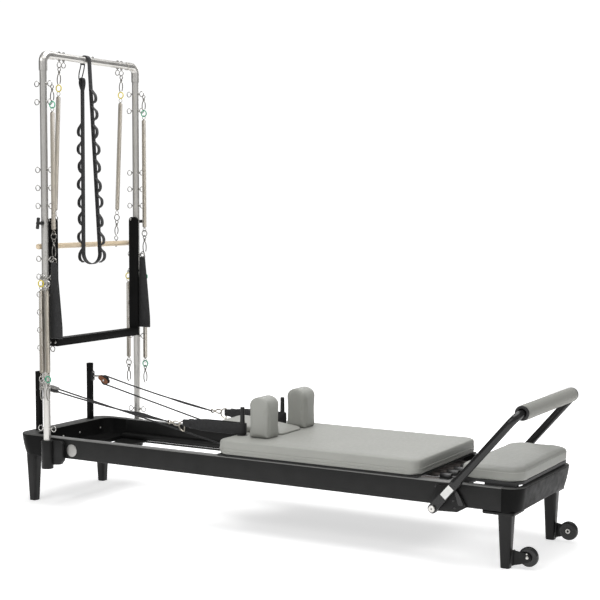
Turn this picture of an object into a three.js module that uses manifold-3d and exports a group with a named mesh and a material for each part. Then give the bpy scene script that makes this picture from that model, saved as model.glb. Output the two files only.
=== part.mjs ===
// Pilates reformer with a half-trapeze tower.
// Millimetres, +X towards the foot end, +Z up, origin on the floor under the middle of the machine.

import * as THREE from 'three';
import { mergeVertices } from 'three/addons/utils/BufferGeometryUtils.js';
import Module from 'manifold-3d';

const wasm = await Module();
wasm.setup();

// ---------- driving dimensions ----------

const GAP = 0.3;

const RAIL_OUTER_Y = 308;
const RAIL_INNER_Y = 270;
const RAIL_TOP_Z = 314;
const RAIL_BOTTOM_Z = 224;
const RAIL_HEAD_X = -1060;
const RAIL_FOOT_X = 1117;
const TRACK_INNER_Y = 240;
const TRACK_TOP_Z = 248;

const HEAD_END_X = -1240;
const HEAD_WALL_X = -1178;
const FOOT_END_X = 1192;
const FOOT_WALL_X = 1166;
const CASTING_BOTTOM_Z = 219;
const CASTING_FLOOR_Z = 237;
const CASTING_TOP_Z = 315;
const HEAD_CORNER = 66;
const FOOT_CORNER = 64;
const CASTING_TAPER = 18;

const HEAD_LEG_X = -1192;
const HEAD_LEG_Y = 252;
const FOOT_LEG_X = 1119;
const FOOT_LEG_Y = 253;
const LEG_TOP_WIDTH = 58;
const LEG_BOTTOM_WIDTH = 37;
const LEG_PLATE_BOTTOM_Z = 208;
const LEG_PLATE_X = [1034, 1163];
const LEG_PLATE_Y = [170, 296];

const TOWER_X = -1040;
const TOWER_Y = 338;
const TUBE_RADIUS = 16;
const CROSSBAR_Z = 2024;
const ELBOW_RADIUS = 19;
const ELBOW_LEG = 71;
const ELBOW_BEND = 32;
const SOCKET_RADIUS = 27;
const SOCKET_TOP_Z = 305;
const SOCKET_BOTTOM_Z = 177;
const POST_BOTTOM_Z = 190;
const EYELET_REACH = 50;

const RISER_Y = 188;
const RISER_X = -1214;
const RISER_BOTTOM_Z = 262;
const RISER_TOP_Z = 590;
const RISER_WIDTH = 25;
const PULLEY_X = -1122;
const PULLEY_TILT = THREE.MathUtils.degToRad(14);
const PULLEY_Z = 511;
const TILT_AXIS = new THREE.Vector3(0, 1, 0);
const SHEAVE_RADIUS = 17.5;
const ROPE_RADIUS = 3.5;
const ROPE_END_X = -154;
const ROPE_END_Y = 100;
const ROPE_END_Z = 300;
const HOOK_LENGTH = 74;
const HOOK_Y = 173;
const ROPE_SAG = 26;

const CUSHION_HEAD_X = -166;
const CUSHION_FOOT_X = 780;
const CUSHION_BOTTOM_Z = 321;
const CUSHION_TOP_Z = 382;
const DECK_TOP_Z = CUSHION_BOTTOM_Z - GAP;
const DECK_BOTTOM_Z = 316.5;
const DECK_INSET = 10;
const BEAM_BOTTOM_Z = 255;
const BEAM_INNER_Y = 200;
const BEAM_WIDTH = 36;
const BEAM_HEAD_X = -150;
const BEAM_FOOT_X = 740;
const WHEEL_RADIUS = 22;
const AXLE_RADIUS = 6;
const WHEELSET_X = [70, 505];
const SPRING_Y = [-140, -70, 0, 70, 140];
const SPRING_Z = 296;
const SPRING_RADIUS = 12;
const SPRING_HEAD_X = 577;
const SPRING_FOOT_X = 858;
const SPRING_BAR_X = 868;

const REST_X = -8;
const REST_Y = 157;
const REST_DEPTH_X = 84;
const REST_WIDTH_Y = 98;
const REST_TOP_Z = 562;
const REST_PLATE_Z = CUSHION_TOP_Z + GAP;
const REST_BOTTOM_Z = REST_PLATE_Z + 5;
const REST_POST_RADIUS = 7;

const PEG_X = -110;
const PEG_Y = 168;
const PEG_TOP_Z = 505;
const PEG_RADIUS = 10;
const STRAP_RING_X = -415;
const STRAP_Z = 412;
const STRAP_WIDTH = 44;
const STRAP_THICKNESS = 5;

const HEADREST_HEAD_X = -290;
const HEADREST_FOOT_X = 33;
const HEADREST_HALF_Y = 104;
const HEADREST_TOP_Z = 426;

const PLATFORM_HEAD_X = 926;
const PLATFORM_FOOT_X = 1195;
const PLATFORM_HALF_Y = 297;
const PLATFORM_BOTTOM_Z = 335;
const PLATFORM_TOP_Z = 384;
const STANDOFF_X = [[948, 976], [1039, 1165]];

const FOOTBAR_PIVOT_X = 853;
const FOOTBAR_PIVOT_Z = 213;
const FOOTBAR_ANGLE = THREE.MathUtils.degToRad(49);
const FOOTBAR_LENGTH = 508;
const FOOTBAR_ARM_Y = 336;
const FOOTBAR_BEND = 46;
const FOOTBAR_FLAT_LENGTH = 168;
const GRIP_HALF_LENGTH = 288;
const GRIP_RADIUS = 28;

const CASTER_X = 1202;
const CASTER_Y = 233;
const CASTER_Z = 48;
const CASTER_RADIUS = 38;
const CASTER_WIDTH = 22;

const PUSH_BAR_X = -1027;
const PUSH_BAR_Y = 300;
const PUSH_BAR_WIDTH = 50;
const PUSH_BAR_THICKNESS = 12;
const PUSH_BAR_BOTTOM_Z = 728;
const PUSH_BAR_TOP_Z = 1302;
const PUSH_PIVOT_Z = 1280;
const PIVOT_RADIUS = 8;
const KNOB_END_Y = 392;

const DOWEL_X = -1079;
const DOWEL_Z = 1175;
const DOWEL_RADIUS = 12.5;
const DOWEL_HALF_LENGTH = 343;
const HANG_Y = 228;
const HANG_Z = 1990;

const WEBBING_Y = -32;
const WEBBING_WIDTH = 42;
const WEBBING_THICKNESS = 6;
const WEBBING_BOTTOM_Z = 1065;
const WEBBING_HALF_SPREAD = 41;
const WEBBING_LEAN = 25;

// ---------- materials ----------

function finish(color, roughness, metalness) {
  return new THREE.MeshStandardMaterial({ color, roughness, metalness });
}

const BLACK_PAINT = finish(0x2b2b2b, 0.45, 0.3);
const POLISHED_STEEL = finish(0xb9b6b0, 0.22, 1.0);
const SPRING_NICKEL = finish(0xbdb3a0, 0.3, 1.0);
const UPHOLSTERY = finish(0xa9aaa4, 0.6, 0.0);
const FOAM = finish(0x9b9c95, 0.8, 0.0);
const WEBBING = finish(0x1b1b1b, 0.9, 0.0);
const ROPE = finish(0x1d1d1d, 0.85, 0.0);
const BEECH = finish(0xd9c5a2, 0.5, 0.0);
const RUBBER = finish(0x1c1c1c, 0.8, 0.0);
const PLASTIC = finish(0x232323, 0.5, 0.0);
const BRASS = finish(0x9a6a45, 0.4, 0.8);
const BOARD = finish(0x1f1f1f, 0.6, 0.0);

// ---------- solids ----------

// Drops the triangles that merging has closed up to a line.
function withoutSlivers(indices) {
  const kept = [];
  for (let i = 0; i < indices.length; i += 3) {
    const [a, b, c] = indices.slice(i, i + 3);
    if (a !== b && b !== c && c !== a) kept.push(a, b, c);
  }
  return kept;
}

function toSolid(geometry) {
  const bare = geometry.clone();
  bare.deleteAttribute('normal');
  bare.deleteAttribute('uv');
  const merged = mergeVertices(bare, 1e-4);
  const vertProperties = new Float32Array(merged.attributes.position.array);
  const triVerts = new Uint32Array(withoutSlivers(merged.index.array));
  return new wasm.Manifold(new wasm.Mesh({ numProp: 3, vertProperties, triVerts }));
}

function toGeometry(solid) {
  const { vertProperties, triVerts } = solid.getMesh();
  const geometry = new THREE.BufferGeometry();
  geometry.setAttribute('position', new THREE.BufferAttribute(new Float32Array(vertProperties), 3));
  geometry.setIndex(new THREE.BufferAttribute(new Uint32Array(triVerts), 1));
  geometry.computeVertexNormals();
  return geometry;
}

function joined(...geometries) {
  const solids = geometries.map(toSolid);
  return toGeometry(solids.slice(1).reduce((whole, next) => whole.add(next), solids[0]));
}

function cut(geometry, ...tools) {
  return toGeometry(tools.reduce((rest, tool) => rest.subtract(toSolid(tool)), toSolid(geometry)));
}

function block(x0, x1, y0, y1, z0, z1) {
  const geometry = new THREE.BoxGeometry(x1 - x0, y1 - y0, z1 - z0);
  return geometry.translate((x0 + x1) / 2, (y0 + y1) / 2, (z0 + z1) / 2);
}

function vector(x, y, z) {
  return new THREE.Vector3(x, y, z);
}

// A round bar from one point to another.
function rod(radius, from, to, segments = 12) {
  const along = to.clone().sub(from);
  const geometry = new THREE.CylinderGeometry(radius, radius, along.length(), segments);
  const turn = new THREE.Quaternion().setFromUnitVectors(vector(0, 1, 0), along.clone().normalize());
  const middle = from.clone().add(to).multiplyScalar(0.5);
  return geometry.applyQuaternion(turn).translate(middle.x, middle.y, middle.z);
}

// Turns a profile of [radius, height] pairs about the Z axis.
function turned(profile, segments = 16) {
  const points = profile.map(([radius, height]) => new THREE.Vector2(radius, height));
  return new THREE.LatheGeometry(points, segments).rotateX(Math.PI / 2);
}

// A ring about the Y axis with a square section and a bore.
function ring(outer, inner, width, segments = 20) {
  const half = width / 2;
  const corners = [[inner, -half], [outer, -half], [outer, half], [inner, half], [inner, -half]];
  return new THREE.LatheGeometry(corners.map(([r, y]) => new THREE.Vector2(r, y)), segments);
}

function outline(points) {
  return new THREE.Shape(points.map(([u, v]) => new THREE.Vector2(u, v)));
}

function roundedRectangle(x0, x1, y0, y1, radius) {
  const shape = new THREE.Shape();
  shape.moveTo(x0 + radius, y0);
  shape.absarc(x1 - radius, y0 + radius, radius, -Math.PI / 2, 0);
  shape.absarc(x1 - radius, y1 - radius, radius, 0, Math.PI / 2);
  shape.absarc(x0 + radius, y1 - radius, radius, Math.PI / 2, Math.PI);
  shape.absarc(x0 + radius, y0 + radius, radius, Math.PI, Math.PI * 1.5);
  return shape;
}

// A plan outline raised from z0 to z1.
function raised(shape, z0, z1, curveSegments = 5, steps = 1) {
  const options = { depth: z1 - z0, bevelEnabled: false, curveSegments, steps };
  return new THREE.ExtrudeGeometry(shape, options).translate(0, 0, z0);
}

// A side outline in X and Z, given thickness from y0 to y1.
function slab(shape, y0, y1, curveSegments = 5) {
  const options = { depth: y1 - y0, bevelEnabled: false, curveSegments };
  return new THREE.ExtrudeGeometry(shape, options).rotateX(Math.PI / 2).translate(0, y1, 0);
}

// A cross-section in Y and Z, drawn out from x0 to x1.
function drawnOut(shape, x0, x1) {
  const axes = new THREE.Matrix4().makeBasis(vector(0, 1, 0), vector(0, 0, 1), vector(1, 0, 0));
  const options = { depth: x1 - x0, bevelEnabled: false };
  return new THREE.ExtrudeGeometry(shape, options).applyMatrix4(axes).translate(x0, 0, 0);
}

// A soft block with rounded corners in plan and rounded edges above and below.
function pad(x0, x1, y0, y1, z0, z1, corner, edge) {
  const shape = roundedRectangle(x0 + edge, x1 - edge, y0 + edge, y1 - edge, corner);
  const options = { depth: z1 - z0 - 2 * edge, bevelSize: edge, bevelThickness: edge };
  options.bevelSegments = 2;
  options.curveSegments = 4;
  return new THREE.ExtrudeGeometry(shape, options).translate(0, 0, z0 + edge);
}

// A path that is read point by point, with straight stretches between its points.
class PointPath extends THREE.Curve {
  constructor(points) {
    super();
    this.points = points;
  }

  getPoint(t, target = new THREE.Vector3()) {
    const place = t * (this.points.length - 1);
    const first = Math.min(Math.floor(place), this.points.length - 2);
    return target.lerpVectors(this.points[first], this.points[first + 1], place - first);
  }

  getPointAt(t, target) {
    return this.getPoint(t, target);
  }

  getSpacedPoints(divisions) {
    return Array.from({ length: divisions + 1 }, (_, i) => this.getPoint(i / divisions));
  }

  getTangent(t, target = new THREE.Vector3()) {
    const last = this.points.length - 1;
    const place = Math.round(t * last);
    const before = this.points[Math.max(place - 1, 0)];
    const after = this.points[Math.min(place + 1, last)];
    return target.subVectors(after, before).normalize();
  }

  getTangentAt(t, target) {
    return this.getTangent(t, target);
  }
}

function tube(points, radius, sides = 12) {
  const section = new THREE.Shape();
  section.absarc(0, 0, radius, 0, Math.PI * 2);
  const options = { steps: points.length - 1, extrudePath: new PointPath(points) };
  options.curveSegments = sides / 2;
  return new THREE.ExtrudeGeometry(section, options);
}

// Points of an arc about a centre, from one direction to another.
function arc(centre, fromDirection, toDirection, radius, count) {
  const points = [];
  for (let i = 0; i <= count; i += 1) {
    const angle = (i / count) * (Math.PI / 2);
    const point = centre.clone();
    point.addScaledVector(fromDirection, radius * Math.cos(angle));
    point.addScaledVector(toDirection, radius * Math.sin(angle));
    points.push(point);
  }
  return points;
}

// ---------- assembly ----------

const reformer = new THREE.Group();

function add(name, geometry, material, x = 0, y = 0, z = 0) {
  const mesh = new THREE.Mesh(geometry, material);
  mesh.name = name;
  mesh.position.set(x, y, z);
  reformer.add(mesh);
  return mesh;
}

const SIDES = [['near', -1], ['far', 1]];

function span(side, inner, outer) {
  return side > 0 ? [inner, outer] : [-outer, -inner];
}

// Side rail: an outer box with the carriage track on its inner face.
function rail(side) {
  const chamfer = 4;
  const points = [
    [TRACK_INNER_Y, RAIL_BOTTOM_Z],
    [RAIL_OUTER_Y - chamfer, RAIL_BOTTOM_Z],
    [RAIL_OUTER_Y, RAIL_BOTTOM_Z + chamfer],
    [RAIL_OUTER_Y, RAIL_TOP_Z - chamfer],
    [RAIL_OUTER_Y - chamfer, RAIL_TOP_Z],
    [RAIL_INNER_Y, RAIL_TOP_Z],
    [RAIL_INNER_Y, TRACK_TOP_Z],
    [TRACK_INNER_Y, TRACK_TOP_Z],
  ];
  const section = outline(points.map(([y, z]) => [side * y, z]));
  return drawnOut(section, RAIL_HEAD_X + GAP, RAIL_FOOT_X - GAP);
}

// End casting: a tray with round outer corners that draws in towards its bottom edge.
function casting(endX, wallX, seamX, cornerRadius) {
  const direction = Math.sign(endX - seamX);
  const shape = new THREE.Shape();
  const corner = endX - direction * cornerRadius;
  const reach = RAIL_OUTER_Y - cornerRadius;
  shape.moveTo(seamX, -RAIL_OUTER_Y);
  if (direction > 0) {
    shape.absarc(corner, -reach, cornerRadius, -Math.PI / 2, 0);
    shape.absarc(corner, reach, cornerRadius, 0, Math.PI / 2);
  } else {
    shape.absarc(corner, -reach, cornerRadius, -Math.PI / 2, -Math.PI, true);
    shape.absarc(corner, reach, cornerRadius, Math.PI, Math.PI / 2, true);
  }
  shape.lineTo(seamX, RAIL_OUTER_Y);
  const outer = raised(shape, CASTING_BOTTOM_Z, CASTING_TOP_Z, 10, 4);
  const points = outer.attributes.position;
  for (let i = 0; i < points.count; i += 1) {
    const depth = Math.max(0, CASTING_TOP_Z - points.getZ(i));
    const drop = depth / (CASTING_TOP_Z - CASTING_BOTTOM_Z);
    const nearEnd = (points.getX(i) - seamX) / (endX - seamX);
    const inward = CASTING_TAPER * drop ** 1.6 * nearEnd;
    points.setX(i, points.getX(i) - direction * inward);
    points.setY(i, points.getY(i) * (1 - (inward * 0.7) / RAIL_OUTER_Y));
  }
  const openX = seamX - direction * 60;
  const hollow = roundedRectangle(Math.min(openX, wallX), Math.max(openX, wallX),
    -RAIL_INNER_Y, RAIL_INNER_Y, 50);
  return cut(outer, raised(hollow, CASTING_FLOOR_Z, CASTING_TOP_Z + 10, 8));
}

// Pocket in the head casting's rim that a riser stands in.
function riserPocket(side) {
  const half = RISER_WIDTH / 2 + GAP;
  const centreY = side * RISER_Y;
  return block(RISER_X - half, RISER_X + half, centreY - half, centreY + half,
    RISER_BOTTOM_Z - GAP, CASTING_TOP_Z + 10);
}

// Tapered leg with a flat foot.
function leg() {
  const half = LEG_TOP_WIDTH / 2;
  const top = CASTING_BOTTOM_Z - GAP;
  const shank = raised(roundedRectangle(-half, half, -half, half, 16), 0, top, 5);
  const points = shank.attributes.position;
  const ratio = LEG_BOTTOM_WIDTH / LEG_TOP_WIDTH;
  for (let i = 0; i < points.count; i += 1) {
    const scale = ratio + (1 - ratio) * (points.getZ(i) / top);
    points.setX(i, points.getX(i) * scale);
    points.setY(i, points.getY(i) * scale);
  }
  return shank;
}

// Foot-end leg with the square plate that bolts it under the casting.
function footLeg(side) {
  const [x0, x1] = LEG_PLATE_X.map((x) => x - FOOT_LEG_X);
  const [y0, y1] = span(side, ...LEG_PLATE_Y.map((y) => y - FOOT_LEG_Y));
  const plate = roundedRectangle(x0, x1, y0, y1, 14);
  return joined(leg(), raised(plate, LEG_PLATE_BOTTOM_Z, CASTING_BOTTOM_Z - GAP, 4));
}

function frame() {
  const head = casting(HEAD_END_X, HEAD_WALL_X, RAIL_HEAD_X, HEAD_CORNER);
  add('head_casting', cut(head, riserPocket(-1), riserPocket(1)), BLACK_PAINT);
  add('foot_casting', casting(FOOT_END_X, FOOT_WALL_X, RAIL_FOOT_X, FOOT_CORNER), BLACK_PAINT);
  for (const [name, side] of SIDES) {
    add(`rail_${name}`, rail(side), BLACK_PAINT);
    add(`head_leg_${name}`, leg(), BLACK_PAINT, HEAD_LEG_X, side * HEAD_LEG_Y, 0);
    add(`foot_leg_${name}`, footLeg(side), BLACK_PAINT, FOOT_LEG_X, side * FOOT_LEG_Y, 0);
  }
}

// Socket that holds the foot of a tower post against the side of the rail.
function towerSocket(side) {
  const height = SOCKET_TOP_Z - SOCKET_BOTTOM_Z;
  const sleeve = turned([[0, 0], [SOCKET_RADIUS, 0], [SOCKET_RADIUS, height], [0, height]], 24);
  const bore = turned([[0, 0], [TUBE_RADIUS + GAP, 0], [TUBE_RADIUS + GAP, height], [0, height]], 20);
  const depth = TOWER_Y - RAIL_OUTER_Y - GAP;
  const inner = -side * depth;
  const outer = -side * 8;
  const webShape = outline([[0, 14], [62, 20], [78, 40], [78, 116], [66, 126], [0, 126]]);
  const web = slab(webShape, Math.min(inner, outer), Math.max(inner, outer));
  return cut(joined(sleeve, web), bore.translate(0, 0, POST_BOTTOM_Z - SOCKET_BOTTOM_Z - GAP));
}

function towerElbow(side) {
  const inward = vector(0, -side, 0);
  const outward = vector(0, side, 0);
  const down = vector(0, 0, -1);
  const up = vector(0, 0, 1);
  const centre = vector(0, 0, 0).addScaledVector(inward, ELBOW_BEND).addScaledVector(down, ELBOW_BEND);
  const start = vector(0, 0, -ELBOW_LEG);
  const end = vector(0, 0, 0).addScaledVector(inward, ELBOW_LEG);
  const bend = arc(centre, outward, up, ELBOW_BEND, 5);
  return tube([start, ...bend, end], ELBOW_RADIUS, 16);
}

function tower() {
  const postTop = CROSSBAR_Z - ELBOW_LEG - GAP;
  const profile = [[0, POST_BOTTOM_Z], [TUBE_RADIUS, POST_BOTTOM_Z], [TUBE_RADIUS, postTop], [0, postTop]];
  const pivotBore = rod(PIVOT_RADIUS + 0.5, vector(0, -40, PUSH_PIVOT_Z), vector(0, 40, PUSH_PIVOT_Z), 16);
  for (const [name, side] of SIDES) {
    add(`tower_socket_${name}`, towerSocket(side), BLACK_PAINT, TOWER_X, side * TOWER_Y, SOCKET_BOTTOM_Z);
    const post = cut(turned(profile, 16), pivotBore);
    add(`tower_post_${name}`, post, POLISHED_STEEL, TOWER_X, side * TOWER_Y, 0);
    add(`tower_elbow_${name}`, towerElbow(side), POLISHED_STEEL, TOWER_X, side * TOWER_Y, CROSSBAR_Z);
  }
  const reach = TOWER_Y - ELBOW_LEG - GAP;
  const bar = rod(TUBE_RADIUS, vector(0, -reach, 0), vector(0, reach, 0), 16);
  add('tower_crossbar', bar, POLISHED_STEEL, TOWER_X, 0, CROSSBAR_Z);
}

// Cheeks, neck and back plate of a rope pulley, centred on the sheave. Roll turns the cheeks about the neck.
function pulleyBlock(roll) {
  const cheekShape = roundedRectangle(-36, 24, -22, 22, 20);
  const cheeks = [slab(cheekShape, -10, -7), slab(cheekShape, 7, 10)];
  const web = block(-36, -30, -8, 8, -9, 9);
  const pin = rod(3, vector(0, -12, 0), vector(0, 12, 0), 10);
  const swivel = joined(...cheeks, web, pin);
  swivel.rotateX(roll).rotateY(PULLEY_TILT);
  const face = RISER_X + RISER_WIDTH / 2 + GAP - PULLEY_X;
  const neckTop = vector(face + 4, 0, 17);
  const neckEnd = vector(-33 * Math.cos(PULLEY_TILT), 0, 33 * Math.sin(PULLEY_TILT));
  const plate = block(face, face + 7, -12, 12, -7, 41);
  return joined(swivel, rod(5, neckTop, neckEnd, 10), plate);
}

function sheave() {
  const rim = SHEAVE_RADIUS + 4;
  const bore = 3.3;
  const profile = [
    [bore, -6],
    [rim, -6],
    [rim, -5],
    [SHEAVE_RADIUS, -3],
    [SHEAVE_RADIUS, 3],
    [rim, 5],
    [rim, 6],
    [bore, 6],
    [bore, -6],
  ];
  return new THREE.LatheGeometry(profile.map(([r, y]) => new THREE.Vector2(r, y)), 20);
}

// Rope from the carriage, round the back of the sheave and down to the strap ring.
// The near sheave lies flat, so its rope turns level; the far one turns upright.
function ropeRoute(side) {
  const radius = SHEAVE_RADIUS + ROPE_RADIUS + 3 * GAP;
  const upright = side > 0;
  const centre = vector(PULLEY_X, side * RISER_Y, PULLEY_Z);
  const lowEnd = vector(ROPE_END_X, side * ROPE_END_Y, ROPE_END_Z);
  const highEnd = vector(STRAP_RING_X - HOOK_LENGTH, side * HOOK_Y, STRAP_Z);
  const [firstAngle, sweep] = upright ? [-76, -200] : [88, 184];
  const steps = 12;
  const bend = [];
  for (let i = 0; i <= steps; i += 1) {
    const angle = THREE.MathUtils.degToRad(firstAngle + (sweep * i) / steps);
    const along = Math.cos(angle) * radius;
    const across = Math.sin(angle) * radius;
    const level = vector(along, across, 0).applyAxisAngle(TILT_AXIS, PULLEY_TILT);
    bend.push(centre.clone().add(upright ? vector(along, 0, across) : level));
  }
  const last = bend[bend.length - 1];
  const sag = [0.22, 0.48, 0.75].map((t) => {
    const point = last.clone().lerp(highEnd, t);
    point.z -= ROPE_SAG * t * (1 - t);
    return point;
  });
  return [lowEnd, ...bend, ...sag, highEnd];
}

function ropeGear() {
  const half = RISER_WIDTH / 2;
  for (const [name, side] of SIDES) {
    const roll = side > 0 ? 0 : Math.PI / 2;
    const bar = raised(roundedRectangle(-half, half, -half, half, 3), RISER_BOTTOM_Z, RISER_TOP_Z, 2);
    add(`riser_${name}`, bar, BLACK_PAINT, RISER_X, side * RISER_Y, 0);
    add(`pulley_block_${name}`, pulleyBlock(roll), BRASS, PULLEY_X, side * RISER_Y, PULLEY_Z);
    const wheel = sheave().rotateX(roll).rotateY(PULLEY_TILT);
    add(`pulley_sheave_${name}`, wheel, PLASTIC, PULLEY_X, side * RISER_Y, PULLEY_Z);
    add(`rope_${name}`, tube(ropeRoute(side), ROPE_RADIUS, 8), ROPE);
  }
}

// ---------- carriage ----------

function restBore(side, z0, z1) {
  const radius = REST_POST_RADIUS + 0.5;
  return rod(radius, vector(REST_X, side * REST_Y, z0), vector(REST_X, side * REST_Y, z1), 12);
}

function carriageBase() {
  const halfWidth = RAIL_OUTER_Y - DECK_INSET;
  const deck = block(CUSHION_HEAD_X + DECK_INSET, CUSHION_FOOT_X - DECK_INSET, -halfWidth, halfWidth,
    DECK_BOTTOM_Z, DECK_TOP_Z);
  const beamTop = DECK_BOTTOM_Z + 2;
  const beams = [-1, 1].map((side) => {
    const [y0, y1] = span(side, BEAM_INNER_Y, BEAM_INNER_Y + BEAM_WIDTH);
    return block(BEAM_HEAD_X, BEAM_FOOT_X, y0, y1, BEAM_BOTTOM_Z, beamTop);
  });
  const crossBeams = [
    [BEAM_HEAD_X, BEAM_WIDTH, 262],
    [REST_X - 30, 60, 262],
    [540, BEAM_WIDTH, 262],
    [BEAM_FOOT_X - BEAM_WIDTH, BEAM_WIDTH, 311],
  ];
  const reach = BEAM_INNER_Y + 10;
  const cross = crossBeams.map(([x, width, z]) => block(x, x + width, -reach, reach, z, beamTop));
  const axleZ = TRACK_TOP_Z + WHEEL_RADIUS + GAP;
  const bores = WHEELSET_X.map((x) => rod(AXLE_RADIUS + 0.5, vector(x, -240, axleZ), vector(x, 240, axleZ)));
  const holes = [restBore(-1, 250, 330), restBore(1, 250, 330)];
  return cut(joined(deck, ...beams, ...cross), ...bores, ...holes);
}

function carriageCushion() {
  const whole = pad(CUSHION_HEAD_X, CUSHION_FOOT_X, -RAIL_OUTER_Y, RAIL_OUTER_Y,
    CUSHION_BOTTOM_Z, CUSHION_TOP_Z, 34, 8);
  const bores = [-1, 1].map((side) => restBore(side, CUSHION_BOTTOM_Z - 5, CUSHION_TOP_Z + 5));
  return cut(whole, ...bores);
}

function wheelset() {
  const wheels = [-254, 254].map((y) => ring(WHEEL_RADIUS, 3, 16, 20).translate(0, y, 0));
  const axle = rod(AXLE_RADIUS, vector(0, -263, 0), vector(0, 263, 0), 12);
  return joined(axle, ...wheels);
}

function carriageSprings() {
  const coils = SPRING_Y.map((y) => rod(SPRING_RADIUS, vector(SPRING_HEAD_X, y, SPRING_Z),
    vector(SPRING_FOOT_X + 3, y, SPRING_Z), 10));
  const plate = block(SPRING_FOOT_X, SPRING_FOOT_X + 8, -158, 158, SPRING_Z - 10, SPRING_Z + 10);
  return joined(plate, ...coils);
}

function shoulderRest() {
  const half = REST_DEPTH_X / 2 - 8;
  const crown = 34;
  const shape = new THREE.Shape();
  shape.moveTo(-half, REST_BOTTOM_Z + 8);
  shape.lineTo(half, REST_BOTTOM_Z + 8);
  shape.lineTo(half, REST_TOP_Z - 8 - crown);
  shape.absellipse(0, REST_TOP_Z - 8 - crown, half, crown, 0, Math.PI);
  const options = { depth: REST_WIDTH_Y - 16, bevelSize: 8, bevelThickness: 8, bevelSegments: 2 };
  options.curveSegments = 5;
  const cushion = new THREE.ExtrudeGeometry(shape, options);
  cushion.rotateX(Math.PI / 2).translate(0, REST_WIDTH_Y / 2 - 8, 0);
  const plate = block(-30, 30, -34, 34, REST_PLATE_Z, REST_BOTTOM_Z + 1);
  const pin = rod(REST_POST_RADIUS, vector(0, 0, 268), vector(0, 0, REST_PLATE_Z + 2), 12);
  return joined(cushion, plate, pin);
}

function strapPeg() {
  const foot = CUSHION_TOP_Z + GAP;
  const top = PEG_TOP_Z;
  const profile = [
    [0, foot],
    [24, foot],
    [24, foot + 3],
    [14, foot + 4],
    [PEG_RADIUS + 1, foot + 7],
    [PEG_RADIUS - 1, top],
    [0, top],
  ];
  return turned(profile, 14);
}

// Loop of webbing that lies round the peg and runs to the ring on the rope.
function handStrap() {
  const clear = PEG_RADIUS + 1.5;
  const outer = clear + STRAP_THICKNESS;
  const reach = PEG_X - STRAP_RING_X;
  const shape = new THREE.Shape();
  shape.absarc(0, 0, outer, -Math.PI / 2, Math.PI / 2);
  shape.lineTo(-120, outer + 6);
  shape.lineTo(-reach + 24, 9);
  shape.absarc(-reach + 9, 0, 9, Math.PI / 2, Math.PI * 1.5);
  shape.lineTo(-120, -outer - 6);
  const hole = new THREE.Path();
  hole.absarc(0, 0, clear, -Math.PI / 2, Math.PI / 2);
  hole.lineTo(-120, clear + 6);
  hole.lineTo(-reach + 24, 4);
  hole.lineTo(-reach + 24, -4);
  hole.lineTo(-120, -clear - 6);
  shape.holes.push(hole);
  return raised(shape, STRAP_Z - STRAP_WIDTH / 2, STRAP_Z + STRAP_WIDTH / 2, 4);
}

function carriage() {
  add('carriage_base', carriageBase(), BOARD);
  add('carriage_cushion', carriageCushion(), UPHOLSTERY);
  add('carriage_springs', carriageSprings(), SPRING_NICKEL);
  const wheelNames = ['wheelset_head', 'wheelset_foot'];
  wheelNames.forEach((name, i) => {
    add(name, wheelset(), PLASTIC, WHEELSET_X[i], 0, TRACK_TOP_Z + WHEEL_RADIUS + GAP);
  });
  const headrest = pad(HEADREST_HEAD_X, HEADREST_FOOT_X, -HEADREST_HALF_Y, HEADREST_HALF_Y,
    CUSHION_TOP_Z + 1, HEADREST_TOP_Z, 30, 10);
  add('headrest', headrest, UPHOLSTERY);
  for (const [name, side] of SIDES) {
    add(`shoulder_rest_${name}`, shoulderRest(), UPHOLSTERY, REST_X, side * REST_Y, 0);
    add(`strap_peg_${name}`, strapPeg(), PLASTIC, PEG_X, side * PEG_Y, 0);
    add(`hand_strap_${name}`, handStrap(), WEBBING, PEG_X, side * PEG_Y, 0);
  }
}

// ---------- foot end ----------

function platformBoard() {
  const edge = PLATFORM_HALF_Y - 14;
  const shape = roundedRectangle(PLATFORM_HEAD_X + 14, PLATFORM_FOOT_X - 12, -edge, edge, 50);
  const board = raised(shape, PLATFORM_BOTTOM_Z - 11, PLATFORM_BOTTOM_Z - GAP, 5);
  const blocks = [];
  for (const [x0, x1] of STANDOFF_X) {
    for (const side of [-1, 1]) {
      const [y0, y1] = span(side, 250, 280);
      blocks.push(block(x0, x1, y0, y1, CASTING_TOP_Z + GAP, PLATFORM_BOTTOM_Z - 1));
    }
  }
  return joined(board, ...blocks);
}

function springBar() {
  const reach = RAIL_INNER_Y - GAP;
  return block(SPRING_BAR_X, SPRING_BAR_X + 34, -reach, reach, 266, 304);
}

// Bracket bolted under the rail that carries the foot bar's pivot and stops.
function footbarBracket(side) {
  const shape = outline([[-18, -14], [91, -9], [129, 13], [112, 44], [82, 70], [44, 88], [6, 88], [-22, 30]]);
  const [y0, y1] = span(side, RAIL_OUTER_Y + GAP, RAIL_OUTER_Y + 8);
  const plate = slab(shape, y0, y1);
  const bossFrom = vector(0, side * (RAIL_OUTER_Y + 4), 0);
  const bossTo = vector(0, side * (FOOTBAR_ARM_Y + 15), 0);
  return joined(plate, rod(8, bossFrom, bossTo, 14));
}

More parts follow.
